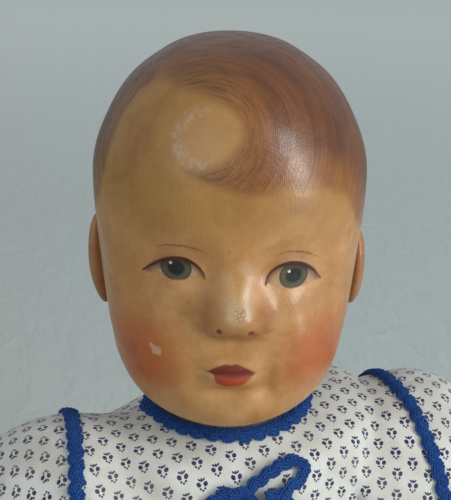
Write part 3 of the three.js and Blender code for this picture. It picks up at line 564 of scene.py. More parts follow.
def lidCurve(eye):
    line = np.array(sorted(map(tuple, eye["lid"])))
    return line[:, 0], line[:, 1]


def headRowStations():
    # rows lie closest together over the face
    even = np.linspace(0, 1, 2400)
    low, high = headRows[0][0], headRows[-1][0]
    share = low + (high - low) * even
    density = 1.0 + 1.3 * smooth(-0.5, -0.42, share) * (1 - smooth(0.0, 0.08, share))
    density += 2.5 * (1 - smooth(0, 0.05, even)) + 2.5 * smooth(0.93, 1, even)
    run = np.cumsum(density)
    return np.interp(np.linspace(run[0], run[-1], 214), run, share)


def headSurface():
    stations = headRowStations()
    half, front, back, square = sampleRows(headRows, stations).T[:, :, None]
    turn = turns(head["around"])
    angle = turn - head["faceCrowding"] * np.sin(turn) - np.pi / 2

    across = half * head["width"] / 2 * powered(np.cos(angle), 2 / square)
    depthShare = np.where(np.sin(angle) < 0, front, back)
    depth = depthShare * head["depth"] * powered(np.sin(angle), 2 / square)
    height = np.repeat(stations[:, None] * head["height"], head["around"], 1)
    facing = smooth(0, 0.5, -np.sin(angle))
    relief = faceRelief(across.ravel(), height.ravel()).reshape(across.shape)
    depth -= facing * relief
    return np.stack([across, depth, height], -1)


def hairPlaces(points):
    # unrolled places on the head: along the girth, and height
    turn = np.degrees(np.arctan2(points[:, 0], -points[:, 1]))
    unrolled = np.where(turn < -100, turn + 360, turn)
    return np.c_[unrolled * 0.9, points[:, 2]]


def paintValues(made, points):
    flat = points[:, [0, 2]]
    front = points[:, 1] < 0
    setValues(made, "facePlace", points)
    lidEdge = np.full(len(points), 9.0)
    lidShade = np.zeros(len(points))
    eyeInside = np.full(len(points), -9.0)
    irisShare = np.full(len(points), 9.0)
    browEdge = np.full(len(points), 9.0)
    glint = np.full(len(points), -9.0)
    for eye in eyes.values():
        distance, share = lineDistance(flat, curveThrough(eye["lid"], 30))
        thick = 0.28 + 0.5 * np.sin(np.pi * np.clip(share, 0.02, 0.98)) ** 1.5
        lidEdge = np.minimum(lidEdge, distance - thick)
        above = points[:, 2] - np.interp(points[:, 0], *lidCurve(eye))
        within = smooth(0.02, 0.3, share) * (1 - smooth(0.75, 0.98, share))
        shade = within * np.exp(-np.clip(above, 0, 20) / 1.5) * (above > -0.4) * (distance < 6)
        lidShade = np.maximum(lidShade, shade)
        outline = np.vstack([curveThrough(eye["lid"], 20), curveThrough(eye["low"], 20)])
        eyeInside = np.maximum(eyeInside, insideDistance(flat, outline))
        x, z, wide, tall = eye["iris"]
        irisShare = np.minimum(irisShare, np.hypot((flat[:, 0] - x) / wide, (flat[:, 1] - z) / tall))
        distance, share = lineDistance(flat, curveThrough(eye["brow"], 20))
        browEdge = np.minimum(browEdge, distance - 0.42 * np.sin(np.pi * np.clip(share, 0.03, 0.97)) ** 0.8)
        for gx, gz, size in eye["glints"]:
            glint = np.maximum(glint, size - np.hypot(flat[:, 0] - gx, flat[:, 1] - gz))
    away = np.where(front, 0.0, 9.0)
    setValues(made, "lidEdge", lidEdge + away)
    setValues(made, "lidShade", lidShade * front)
    setValues(made, "eyeInside", eyeInside - away)
    setValues(made, "irisShare", irisShare + away)
    setValues(made, "glint", glint - away)
    setValues(made, "browEdge", browEdge + away)
    # painted shade beside and under the nose, partly dirt in the creases: the mask for it
    half, out, _ = sampleRows(noseRows, points[:, 2]).T
    beside = bell(np.abs(points[:, 0] - 2.9) - half, 2.4) * smooth(-20, -30, points[:, 2]) * (out > 0)
    below = bell(points[:, 2] + 38.5, 2.2) * smooth(12, 8, np.abs(points[:, 0] - 2.9))
    setValues(made, "noseEdge", np.maximum(beside * (points[:, 2] > -38.5), below) * front)
    setValues(made, "lips", insideDistance(flat, curveThrough(lips["outline"] + lips["outline"][:1], 60)) - away)
    setValues(made, "lipLine", lineDistance(flat, curveThrough(lips["line"], 20))[0] + away)
    unrolled = hairPlaces(points)
    border = np.array(hairline) * (0.9, 1)
    roof = [(border[-1, 0], 200), (border[0, 0], 200)]
    setValues(made, "hairInside", insideDistance(unrolled, np.vstack([border, roof])))
    middle = np.array([curl["middle"][0], -48.0, curl["middle"][1]])
    reach = np.linalg.norm(points - middle, axis=1)
    turn = np.arctan2(points[:, 2] - middle[2], points[:, 0] - middle[0])
    behind = smooth(-5, 45, points[:, 1])
    setValues(made, "strokeAcross", reach * (1 - behind) + behind * unrolled[:, 0])
    setValues(made, "strokeAlong", turn * 20 * (1 - behind) + behind * points[:, 2])
    setValues(made, "curlReach", reach + 100 * behind)
    setValues(made, "curlTurn", turn)


def headMaterial(weave, handling):
    material, wire, shader = newMaterial("paintedCloth", 0.34, **{"Coat Roughness": 0.16})
    place = wire.attribute("facePlace", "Vector")
    across, depth, height = wire.split(place)
    cloud = wire.noise(place, 0.045, 4, 0.6)
    fine = wire.noise(place, 0.5, 4, 0.65)
    skin = wire.mix(wire.step(cloud, 0.35, 0.65), tone(head["skin"]), tone(head["skinPale"]))
    skin = wire.mix(wire.step(height, -12, 12, 0, 0.8), skin, tone(head["skinYellow"]))
    speckle = wire.step(wire.noise(place, 1.6, 3, 0.7), 0.35, 0.75, 0.92, 1.06)
    # cheeks
    for x, z, wide, tall, strength in ((-34, -53, 22, 23, 0.92), (35, -52, 21, 23, 0.85)):
        dx = wire.math("DIVIDE", wire.minus(across, x), wide)
        dz = wire.math("DIVIDE", wire.minus(height, z), tall)
        reach = wire.math("SQRT", wire.plus(wire.times(dx, dx), wire.times(dz, dz)))
        rough = wire.plus(reach, wire.times(wire.minus(fine, 0.5), 0.35))
        skin = wire.mix(wire.step(rough, 1.15, 0.1, 0, strength), skin, tone(head["blush"]))
    # worn pale nose and chin
    for x, z, size, strength in ((4, -27, 8, 0.45), (2, -72, 9, 0.15), (5.5, -13, 4, 0.3)):
        reach = wire.apart(across, x, height, z)
        skin = wire.mix(wire.step(reach, size, size * 0.2, 0, strength), skin, tone("#c3b18c"))
    # hair strokes
    strokePlace = wire.join(
        wire.attribute("strokeAcross"),
        wire.times(wire.attribute("strokeAlong"), 0.06),
        wire.times(height, 0.01),
    )
    strokes = wire.noise(strokePlace, 1.7, 4, 0.7, 0.3)
    broad = wire.noise(strokePlace, 0.35, 3, 0.6, 0.5)
    hairTone = wire.mix(wire.step(strokes, 0.3, 0.7), tone(head["hairDark"]), tone(head["hair"]))
    hairTone = wire.mix(wire.step(broad, 0.4, 0.75, 0, 0.8), hairTone, tone(head["hairRed"]))
    inside = wire.attribute("hairInside")
    hairTone = wire.mix(wire.times(wire.step(inside, 18.0, 2.0, 0, 0.8), wire.step(across, -6.0, 14.0, 0.25, 1.0)),
                        hairTone, tone("#8f5727"))
    reach = wire.attribute("curlReach")
    ragged = wire.plus(inside, wire.times(wire.minus(strokes, 0.5), 5.0))
    cover = wire.step(ragged, -1.6, 2.8)
    thin = wire.step(strokes, 0.66, 0.36, 0.45, 1.0)
    nearEdge = wire.step(inside, 17.0, 1.0)
    cover = wire.times(cover, wire.minus(1.0, wire.times(nearEdge, wire.minus(1.0, thin))))
    colour = wire.mix(cover, skin, hairTone)
    # scuffed pale ring inside the curl
    ring = wire.math("ABSOLUTE", wire.minus(reach, curl["ringRadius"]))
    scuff = wire.times(wire.step(ring, 3.6, 0.6), wire.step(fine, 0.38, 0.62))
    leftSide = wire.step(across, -4.0, -12.0)
    colour = wire.mix(wire.times(wire.times(scuff, leftSide), 0.4), colour, tone("#b9ab9b"))
    # eyes
    iris = wire.attribute("irisShare")
    eye = wire.attribute("eyeInside")
    spokes = wire.noise(wire.join(wire.attribute("irisShare"),
                                  wire.times(wire.math("ARCTAN2", across, height), 40)), 6, 2)
    white = wire.mix(wire.step(fine, 0.3, 0.7), tone("#a8845f"), tone("#b2906e"))
    irisTone = wire.mix(wire.step(iris, 0.35, 0.8), tone("#24261f"), tone("#514d34"))
    irisTone = wire.mix(wire.times(wire.step(spokes, 0.4, 0.7), 0.3), irisTone, tone("#6a6a4c"))
    irisTone = wire.mix(wire.step(iris, 0.8, 1.0), irisTone, tone("#3a3c30"))
    irisTone = wire.mix(wire.step(iris, 0.6, 0.48), irisTone, tone("#0b0d0e"))
    eyeTone = wire.mix(wire.step(iris, 1.06, 0.97), white, irisTone)
    lidEdge = wire.attribute("lidEdge")
    # painted shadow of the upper lid: the eye darker just under the lid line
    eyeTone = wire.mix(wire.step(lidEdge, 2.6, 0.0, 0, 0.6), eyeTone, tone("#1d1410"))
    eyeCover = wire.step(eye, -0.5, 0.7)
    colour = wire.mix(eyeCover, colour, eyeTone)
    colour = wire.mix(wire.times(wire.attribute("lidShade"), 0.85), colour, tone("#6e3418"))
    colour = wire.mix(wire.step(lidEdge, 0.32, -0.2), colour, tone("#4a1a08"))
    colour = wire.mix(wire.step(wire.attribute("glint"), -0.25, 0.3), colour, tone("#dfe3da"))
    browWear = wire.step(wire.noise(place, 0.9, 3), 0.3, 0.6, 0.3, 0.7)
    colour = wire.mix(wire.times(wire.step(wire.attribute("browEdge"), 0.4, -0.2), browWear), colour,
                      tone("#6b3d22"))
    # mouth
    lip = wire.attribute("lips")
    lipTone = wire.mix(wire.step(height, -57.6, -53.4), tone("#a63c06"), tone("#6a1f02"))
    lipTone = wire.mix(wire.step(fine, 0.45, 0.7, 0, 0.35), lipTone, tone("#8f3a20"))
    colour = wire.mix(wire.step(lip, -0.35, 0.4), colour, lipTone)
    colour = wire.mix(wire.step(wire.attribute("lipLine"), 0.8, 0.1, 0, 0.55), colour, tone("#561a10"))
    # painted shade beside and under the nose, partly dirt gathered in the creases
    colour = wire.mix(wire.times(wire.attribute("noseEdge"), 0.5), colour, tone("#c4894a"), "MULTIPLY")
    # nostrils
    behind = wire.step(depth, -20.0, 0.0, 0.0, 60.0)
    for x, z in ((-3.1, -35.6), (8.4, -36.4)):
        drop = wire.times(wire.minus(height, z), 0.65)
        dot = wire.vector("LENGTH", wire.join(wire.minus(across, x), drop))
        dot = wire.plus(dot, behind)
        colour = wire.mix(wire.step(dot, 1.35, 0.8), colour, tone("#7a2a0c"))
    # chips, specks and crackle
    for x, z, wide, chipTone in paintChips:
        dot = wire.apart(across, x, height, z)
        ragged = wire.times(wire.minus(wire.noise(place, 0.8, 3, 0.7), 0.5), 2.6)
        dot = wire.plus(wire.plus(dot, ragged), behind)
        colour = wire.mix(wire.step(dot, wide + 0.3, wide - 0.4, 0, 0.55), colour, tone(chipTone))
    cracks = wire.node("ShaderNodeTexVoronoi", feature="DISTANCE_TO_EDGE")
    wire.feed(cracks.inputs["Vector"], wire.vector("ADD", place, wire.join(fine, cloud, fine)))
    cracks.inputs["Scale"].default_value = 0.75
    noseSpot = wire.plus(wire.apart(across, 4.2, height, -28.2), behind)
    crackMask = wire.times(wire.step(cracks.outputs["Distance"], 0.07, 0.02), wire.step(noseSpot, 3.2, 1.2))
    colour = wire.mix(crackMask, colour, tone("#2a2a24"))
    colour = wire.mix(1.0, colour, wire.join(speckle, speckle, speckle), "MULTIPLY")
    soil = wire.group(handling, Place=place, Size=22.0, Amount=0.5)["Mask"]
    colour = wire.mix(soil, colour, tone("#c9a27c"), "MULTIPLY")
    wire.feed(shader.inputs["Base Color"], colour)
    rub = wire.noise(place, 0.25, 4, 0.6)
    matte = wire.math("MAXIMUM", wire.math("MAXIMUM", eyeCover, wire.step(lidEdge, 0.8, 0.0)),
                      wire.times(wire.step(lip, -0.3, 0.4), 0.6))
    roughness = wire.plus(wire.step(rub, 0.3, 0.7, 0.29, 0.44), wire.times(matte, 0.35))
    wire.feed(shader.inputs["Roughness"], roughness)
    wire.feed(shader.inputs["Coat Weight"], wire.step(matte, 0.0, 1.0, 0.17, 0.0))
    cloth = wire.group(weave, **{"Place": place, "Threads per unit": 1.4, "Uneven": 0.5})
    bumps = wire.plus(wire.times(cloth["Height"], 0.25), wire.times(fine, 0.8))
    bumps = wire.plus(bumps, wire.times(wire.times(strokes, cover), 0.9))
    bumps = wire.plus(bumps, wire.times(crackMask, -0.8))
    wire.feed(shader.inputs["Normal"], wire.bump(bumps, 0.35, 0.0003))
    return material


def buildHead(weave, handling):
    material = headMaterial(weave, handling)
    surface = headSurface()
    made = closedLoft("painted_head", inWorld(surface.reshape(-1, 3)).reshape(surface.shape), material)
    local = np.vstack([surface.reshape(-1, 3), surface[0].mean(0), surface[-1].mean(0)])
    paintValues(made, local)
    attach(made, "head")
    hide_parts("head_shell")
    print("head", len(made.data.polygons), "faces")
    return made

# ears

ear = {
    "width": 18, "thickness": 6.2, "across": 0.482, "back": 0.055, "lean": 0.12,
    # height, rise of the middle and how far it stands out, for each side of the head
    "left": (36, -0.265, 0.2), "right": (43, -0.252, 0.42),
}


def earMaterial(weave):
    material, wire, shader = newMaterial("paintedEar", 0.4, **{"Coat Weight": 0.15, "Coat Roughness": 0.2})
    place = millimetres(wire)
    hollow = wire.attribute("hollow")
    cloud = wire.noise(place, 0.12, 4, 0.6)
    colour = wire.mix(wire.step(cloud, 0.3, 0.7), tone("#a5784c"), tone("#9c6644"))
    colour = wire.mix(wire.step(hollow, 0.1, 0.9, 0, 0.8), colour, tone("#85391f"))
    wire.feed(shader.inputs["Base Color"], colour)
    cloth = wire.group(weave, **{"Place": place, "Threads per unit": 1.4, "Uneven": 0.5})
    height = wire.plus(wire.times(cloth["Height"], 0.3), wire.noise(place, 0.6, 3))
    wire.feed(shader.inputs["Normal"], wire.bump(height, 0.35, 0.0003))
    return material


def buildEar(name, side, material):
    # a folded disc of cloth with a rolled rim, sewn to the side of the head
    rows, around = 40, 64
    tall, rise, standOut = ear["left" if side > 0 else "right"]
    rings, hollows = [], []
    for k in range(rows + 1):
        polar = math.pi * (k + 0.5) / (rows + 1)
        angle = turns(around)
        out = np.full(around, math.cos(polar))
        spread = math.sin(polar)
        y, z = spread * np.cos(angle), spread * np.sin(angle)
        reach = np.hypot(y, z)
        dish = bell(reach, 0.42) * (out > 0)
        rim = bell(reach - 0.78, 0.13) * (out > 0)
        fold = bell(y + 0.25, 0.16) * bell(z + 0.1, 0.4) * (out > 0)
        thick = ear["thickness"] * (0.62 * out - 0.55 * dish + 0.16 * rim + 0.12 * fold)
        width = ear["width"] / 2 * (1 - 0.16 * smooth(0.1, -1, z))
        rings.append(np.stack([thick * side, y * width, z * tall / 2], -1))
        hollows.append(dish)
    rings = np.array(rings)
    tilt = Matrix.Rotation(side * standOut, 3, "Z") @ Matrix.Rotation(ear["lean"], 3, "X")
    rings = rings @ np.array(tilt).T
    middle = (
        side * (ear["across"] * head["width"] - 0.5),
        ear["back"] * head["depth"],
        rise * head["height"],
    )
    made = closedLoft(name, inWorld((rings + middle).reshape(-1, 3)).reshape(rings.shape), material)
    values = np.array(hollows).ravel()
    setValues(made, "hollow", np.r_[values, values[0], values[-1]])
    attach(made, "head")
    return made


# materials of the cloth pieces


def millimetres(wire, socket=None):
    made = wire.node("ShaderNodeVectorMath", operation="SCALE")
    wire.feed(made.inputs[0], socket or wire.objectPlace())
    made.inputs["Scale"].default_value = 1 / mm
    return made.outputs[0]


printPattern = {
    "column": 6.35,  # between columns of flowers
    "row": 8.3,  # between flowers in one column
    "ink": "#16104a",
    "ground": "#d5d7d1",
    "shade": "#c5c6bd",
    # across, up, half-width, half-height, turn in degrees
    "petals": [(-1.25, -0.1, 0.82, 1.02, 28), (1.25, -0.1, 0.82, 1.02, -28), (0, 1.45, 0.38, 0.75, 0),
               (-0.85, 1.6, 0.36, 0.72, 45), (0.85, 1.6, 0.36, 0.72, -45), (-0.85, -1.75, 0.45, 0.45, 0),
               (0.85, -1.75, 0.45, 0.45, 0), (0, -2.45, 0.45, 0.45, 0)],
}


def printGroup():
    # little flowers in half-drop columns: one where there is ink
    tree, wire, given, made = newGroup("flowerPrint", [("Place", "Vector", None)], [("Ink", "Float")])
    across, up, _ = wire.split(given["Place"])
    column = wire.math("FLOOR", wire.math("DIVIDE", across, printPattern["column"]))
    odd = wire.math("MODULO", wire.math("ABSOLUTE", column), 2.0)
    drop = wire.plus(up, wire.times(odd, printPattern["row"] / 2))
    inColumn = wire.minus(across, wire.times(wire.plus(column, 0.5), printPattern["column"]))
    row = wire.math("FLOOR", wire.math("DIVIDE", drop, printPattern["row"]))
    inRow = wire.minus(drop, wire.times(wire.plus(row, 0.5), printPattern["row"]))
    edge = None
    for x, y, wide, tall, turn in printPattern["petals"]:
        cos, sin = math.cos(math.radians(turn)), math.sin(math.radians(turn))
        dx, dy = wire.minus(inColumn, x), wire.minus(inRow, y)
        a = wire.plus(wire.times(dx, cos / wide), wire.times(dy, sin / wide))
        b = wire.plus(wire.times(dx, -sin / tall), wire.times(dy, cos / tall))
        reach = wire.vector("LENGTH", wire.join(a, b))
        edge = wire.math("MINIMUM", edge, reach) if edge else reach
    bleed = wire.times(wire.minus(wire.noise(given["Place"], 1.6, 3), 0.5), 0.45)
    wire.feed(made["Ink"], wire.step(wire.plus(edge, bleed), 1.1, 0.88))
    return tree


def printedCotton(weave, handling, flowers):
    material, wire, shader = newMaterial("printedCotton", 0.85, **{"Sheen Weight": 0.15, "Sheen Roughness": 0.5})
    place = wire.node("ShaderNodeUVMap", uv_map="cloth").outputs[0]
    place = millimetres(wire, place)
    cloth = wire.group(weave, **{"Place": place, "Threads per unit": 2.1, "Uneven": 0.12})
    ink = wire.group(flowers, Place=place)["Ink"]
    ground = wire.mix(wire.step(wire.noise(place, 0.06, 3), 0.35, 0.65), tone(printPattern["ground"]),
                      tone(printPattern["shade"]))
    worn = wire.times(ink, wire.step(wire.noise(place, 2.5, 3), 0.25, 0.55, 0.86, 1.0))
    colour = wire.mix(worn, ground, tone(printPattern["ink"]))
    # painted shade in the weave: the low points of the threads darker, times the thread-to-thread tone
    level = wire.times(wire.step(cloth["Height"], 0.0, 0.8, 0.9, 1.03), cloth["Shade"])
    colour = wire.mix(1.0, colour, wire.join(level, level, level), "MULTIPLY")
    soil = wire.group(handling, Place=place, Size=40.0, Amount=0.25)["Mask"]
    colour = wire.mix(soil, colour, tone("#b3ab98"))
    wire.feed(shader.inputs["Base Color"], colour)
    crease = wire.noise(place, 0.09, 3, 0.55, 0.8)
    height = wire.plus(wire.times(cloth["Height"], 0.12), wire.times(crease, 0.7))
    wire.feed(shader.inputs["Normal"], wire.bump(height, 0.5, 0.0006))
    return material


muslinTones = {"pale": "#d2ab80", "dark": "#c39a6c", "crease": "#7d5a3a", "stitch": "#e3cba6", "soil": "#9b7448"}


def muslinMaterial(weave, handling):
    material, wire, shader = newMaterial("muslin", 0.88, **{"Sheen Weight": 0.12, "Sheen Roughness": 0.5})
    place = millimetres(wire)
    cloth = wire.group(weave, **{"Place": place, "Threads per unit": 1.5, "Uneven": 0.6})
    cloud = wire.noise(place, 0.05, 4, 0.6)
    colour = wire.mix(wire.step(cloud, 0.35, 0.65), tone(muslinTones["pale"]), tone(muslinTones["dark"]))
    # painted shade in the weave: the low points of the threads darker, times the thread-to-thread tone
    level = wire.times(wire.step(cloth["Height"], 0.0, 0.9, 0.86, 1.05), cloth["Shade"])
    colour = wire.mix(1.0, colour, wire.join(level, level, level), "MULTIPLY")
    seam = wire.attribute("seam")
    along = wire.attribute("seamAlong")
    crease = wire.step(seam, 0.9, 0.1)
    stitch = wire.times(wire.step(seam, 1.5, 1.0), wire.step(wire.math("SINE", wire.times(along, 2.6)), 0.1, 0.6))
    colour = wire.mix(wire.times(crease, 0.6), colour, tone(muslinTones["crease"]))
    colour = wire.mix(wire.times(stitch, 0.5), colour, tone(muslinTones["stitch"]))
    soil = wire.group(handling, Place=place, Size=26.0, Amount=0.5)["Mask"]
    colour = wire.mix(soil, colour, tone(muslinTones["soil"]))
    wire.feed(shader.inputs["Base Color"], colour)
    height = wire.plus(wire.times(cloth["Height"], 0.5), wire.times(cloud, 1.5))
    height = wire.plus(height, wire.times(crease, -1.6))
    height = wire.plus(height, wire.times(stitch, 0.6))
    wire.feed(shader.inputs["Normal"], wire.bump(height, 0.6, 0.0004))
    return material


def yarnMaterial():
    material, wire, shader = newMaterial("blueYarn", 0.9,
                                         **{"Sheen Weight": 0.12, "Sheen Roughness": 0.4,
                                            "Sheen Tint": tone("#3f7fe0")})
    place = millimetres(wire)
    ply = wire.noise(place, 2.4, 3, 0.65, 0.6)
    cloud = wire.noise(place, 0.18, 3)
    # painted highlight on the crests of the plies and painted shade in the gaps between them
    colour = wire.mix(wire.step(ply, 0.3, 0.7), tone("#031a4c"), tone("#1c62b4"))
    colour = wire.mix(wire.step(cloud, 0.35, 0.7, 0, 0.4), colour, tone("#0d3076"))
    wire.feed(shader.inputs["Base Color"], colour)
    wire.feed(shader.inputs["Normal"], wire.bump(ply, 0.8, 0.0004))
    return material


def woolMaterial():
    material, wire, shader = newMaterial("woolStuffing", 0.95, **{"Sheen Weight": 0.3, "Sheen Roughness": 0.6})
    place = millimetres(wire)
    strands = wire.noise(place, 0.8, 5, 0.75, 2.5)
    colour = wire.mix(wire.step(strands, 0.35, 0.65), tone("#8a6a45"), tone("#c7ab84"))
    wire.feed(shader.inputs["Base Color"], colour)
    wire.feed(shader.inputs["Normal"], wire.bump(strands, 0.9, 0.0012))
    return material


def plywoodMaterial():
    material, wire, shader = newMaterial("plywood", 0.6)
    place = millimetres(wire)
    grain = wire.noise(wire.vector("MULTIPLY", place, (1.0, 0.12, 1.0)), 1.4, 4, 0.6, 0.5)
    colour = wire.mix(wire.step(grain, 0.3, 0.7), tone("#c59a63"), tone("#a87a47"))
    wire.feed(shader.inputs["Base Color"], colour)
    wire.feed(shader.inputs["Normal"], wire.bump(grain, 0.4, 0.0002))
    return material


def steelMaterial():
    material, wire, shader = newMaterial("steel", 0.35, Metallic=1.0)
    place = millimetres(wire)
    wear = wire.noise(place, 1.2, 4, 0.6)
    wire.feed(shader.inputs["Base Color"], wire.mix(wire.step(wear, 0.4, 0.7), tone("#b4b5b8"), tone("#8e8984")))
    wire.feed(shader.inputs["Roughness"], wire.step(wear, 0.3, 0.7, 0.28, 0.5))
    return material


def buttonMaterial():
    material, wire, shader = newMaterial("shirtButton", 0.25, **{"Coat Weight": 0.3})
    place = millimetres(wire)
    cloud = wire.noise(place, 0.5, 3, 0.6, 1.5)
    wire.feed(shader.inputs["Base Color"], wire.mix(wire.step(cloud, 0.3, 0.7), tone("#e8e5da"), tone("#d5cfbf")))
    wire.feed(shader.inputs["Normal"], wire.bump(cloud, 0.3, 0.0001))
    return material


# shapes shared with the CAD: sweeps along a curved line

body = {
    "torsoHeight": 161, "halfWidth": 50, "halfDepth": 40, "hipPlane": 35.5, "shoulderPlane": 48,
    "shoulderHeight": 132, "hipHeight": 29.5, "hipBack": 4, "neckHeight": 165, "neckRadius": 19, "gap": 0.4,
    "clothWall": 1.4,
}
arm = {"reach": 118, "radius": 17, "splay": 62, "handSplay": 47, "seat": 0.66, "cuffShare": 0.74}
leg = {"reach": 154, "radius": 24, "seat": 0.7, "footLength": 60, "footWidth": 29, "footThickness": 24,
       "bloomersShare": 0.42, "ease": 1.2, "fullness": 1.2, "floorGap": 0.6, "tuck": 1.6, "cuffGirth": 170}
sides = {"left": 1, "right": -1}


def sweepRings(line, rows, lateral, around, count, grow=0.0, domed=False):
    # rows: share of the way, half-width, half-thickness; the angle runs from the lateral direction
    dense = curveThrough(line, 400)
    lengths = np.r_[0, np.cumsum(np.linalg.norm(np.diff(dense, axis=0), axis=1))]
    stations = np.linspace(rows[0][0], rows[-1][0], count)
    half, thick = sampleRows(rows, stations).T
    at = stations * lengths[-1]
    centres = np.stack([np.interp(at, lengths, dense[:, i]) for i in range(3)], -1)
    tangents = np.stack([np.interp(at, lengths, np.gradient(dense[:, i], lengths)) for i in range(3)], -1)
    tangents = unit(tangents)
    side = lateral - tangents * (tangents @ lateral)[:, None]
    side = unit(side)
    front = np.cross(side, tangents)
    angle = turns(around)
    rings = []
    if domed:
        for turn in np.linspace(0.06, 0.94, 10) * math.pi / 2:
            back = (half[0] + grow) * math.cos(turn)
            scale = math.sin(turn)
            rings.append(centres[0] - tangents[0] * back
                         + side[0] * (half[0] + grow) * scale * np.cos(angle)[:, None]
                         + front[0] * (thick[0] + grow) * scale * np.sin(angle)[:, None])
    for k in range(count):
        rings.append(centres[k] + side[k] * (half[k] + grow) * np.cos(angle)[:, None]
                     + front[k] * (thick[k] + grow) * np.sin(angle)[:, None])
    return np.array(rings), centres, tangents


def cutPlane(made, place, normal, fill=False, only=None):
    # cuts a mesh and throws away what lies in front of the plane
    work = bmesh.new()
    work.from_mesh(made.data)
    place, normal = Vector(place) * mm, Vector(normal)
    parts = [v for v in work.verts if only is None or only(v.co / mm)]
    chosen = set(parts)
    edges = [e for e in work.edges if e.verts[0] in chosen and e.verts[1] in chosen]
    faces = [f for f in work.faces if all(v in chosen for v in f.verts)]
    bmesh.ops.bisect_plane(work, geom=parts + edges + faces, dist=0.3 * mm, plane_co=place, plane_no=normal,
                           use_snap_center=True)
    away = [f for f in work.faces if (f.calc_center_median() - place).dot(normal) > 1e-7
            and (only is None or all(only(v.co / mm) for v in f.verts))]
    bmesh.ops.delete(work, geom=away, context="FACES")
    if fill:
        rim = [e for e in work.edges if e.is_boundary]
        bmesh.ops.holes_fill(work, edges=rim, sides=0)
    work.to_mesh(made.data)
    work.free()
    made.data.shade_smooth()


def remesh(made, voxel, smoothing=4):
    modifier = made.modifiers.new("voxels", "REMESH")
    modifier.mode = "VOXEL"
    modifier.voxel_size = voxel * mm
    modifier.use_smooth_shade = True
    if smoothing:
        relax = made.modifiers.new("relax", "SMOOTH")
        relax.factor = 0.5
        relax.iterations = smoothing
    material = made.data.materials[0]
    applyModifiers(made)
    made.data.materials.clear()
    made.data.materials.append(material)


def joinPieces(name, pieces, material):
    points, faces, base = [], [], 0
    for piece in pieces:
        places = pointsOf(piece)
        points.append(places)
        faces += [[base + i for i in polygon.vertices] for polygon in piece.data.polygons]
        base += len(places)
        mesh = piece.data
        bpy.data.objects.remove(piece)
        bpy.data.meshes.remove(mesh)
    return newMesh(name, np.vstack(points), faces, material)


def normalsOf(made):
    flat = np.empty(len(made.data.vertices) * 3)
    made.data.vertices.foreach_get("normal", flat)
    return flat.reshape(-1, 3)


def waviness(places, size, seed):
    # a smooth bump field from a few crossing waves
    random = np.random.default_rng(seed)
    total = np.zeros(len(places))
    for _ in range(9):
        direction = random.normal(size=3)
        direction = unit(direction)
        length = size * random.uniform(0.7, 1.5)
        total += np.sin(places @ direction * 2 * math.pi / length + random.uniform(0, 6.3))
    return total / 9


def thicken(made, wall):
    modifier = made.modifiers.new("wall", "SOLIDIFY")
    modifier.thickness = wall * mm
    modifier.offset = -1
    applyModifiers(made)


def wrapFlat(made):
    # cuts the cloth at the side and shoulder seams and lays it flat, in metres
    work = bmesh.new()
    work.from_mesh(made.data)
    bmesh.ops.bisect_plane(work, geom=work.verts[:] + work.edges[:] + work.faces[:], dist=0.3 * mm,
                           plane_co=(0, 0, 0), plane_no=(0, 1, 0), use_snap_center=True)
    for edge in work.edges:
        edge.seam = all(abs(v.co.y) < 1e-6 for v in edge.verts)
    work.to_mesh(made.data)
    work.free()
    made.data.uv_layers.new(name="cloth")
    bpy.context.view_layer.objects.active = made
    made.select_set(True)
    bpy.ops.object.mode_set(mode="EDIT")
    bpy.ops.mesh.select_all(action="SELECT")
    for method in ("MINIMUM_STRETCH", "CONFORMAL"):
        bpy.ops.uv.unwrap(method=method, margin=0.0, iterations=12)
        bpy.ops.object.mode_set(mode="OBJECT")
        flat = np.empty(len(made.data.loops) * 2)
        made.data.uv_layers["cloth"].data.foreach_get("uv", flat)
        if np.isfinite(flat).all():
            break
        bpy.ops.object.mode_set(mode="EDIT")
    print("cloth laid flat by", method)
    made.select_set(False)
    settleCloth(made)


def settleCloth(made):
    # turns each flat panel upright and gives it its true size, both as found on the chest
    mesh = made.data
    loops = np.empty(len(mesh.loops), int)
    mesh.loops.foreach_get("vertex_index", loops)
    flat = np.empty(len(mesh.loops) * 2)
    mesh.uv_layers["cloth"].data.foreach_get("uv", flat)
    flat = flat.reshape(-1, 2)
    places = pointsOf(made)[loops] * mm
    owner = np.repeat(np.arange(len(mesh.polygons)), [p.loop_total for p in mesh.polygons])
    middles = np.array([p.center[:] for p in mesh.polygons])
    areas = np.array([p.area for p in mesh.polygons])
    for sign in (1, -1):
        panel = middles[:, 1] * sign < 0
        chest = panel & (np.abs(middles[:, 0]) < 0.032) & (middles[:, 2] > 0.1) & (middles[:, 2] < 0.15)
        corners = chest[owner]
        source = np.c_[flat[corners], np.ones(corners.sum())]
        fit, *_ = np.linalg.lstsq(source, np.c_[places[corners, 0] * sign, places[corners, 2]], rcond=None)
        u, _, v = np.linalg.svd(fit[:2])
        size = math.sqrt(areas[chest].sum() / sum(flatArea(flat, mesh.polygons[i]) for i in np.flatnonzero(chest)))
        turned = flat[panel[owner]] @ (u @ v) * size
        flat[panel[owner]] = turned - (flat[corners] @ (u @ v) * size).mean(0) + (0.5 if sign < 0 else 0.0, 0.0)
    mesh.uv_layers["cloth"].data.foreach_set("uv", flat.ravel())


def flatArea(flat, polygon):
    x, y = flat[polygon.loop_start : polygon.loop_start + polygon.loop_total].T
    return abs(np.dot(x, np.roll(y, -1)) - np.dot(y, np.roll(x, -1))) / 2


# dress

dress = {
    "hemHalfWidth": 95, "necklineHeight": 165.4, "neckOpening": 31.4, "neckDrop": 4.5, "hemLift": 4,
    "armholeRadius": 46, "armholeBack": -10, "armholeHeight": {1: 117.5, -1: 120},
    "armholePlane": {1: 76.5, -1: 75}, "armholeSplay": 0.12,
    "armholeYaw": {1: 0.0, -1: 0.12},
    "voxel": 2.0, "wall": 1.0, "folds": 3.6, "clearance": 1.5,
}
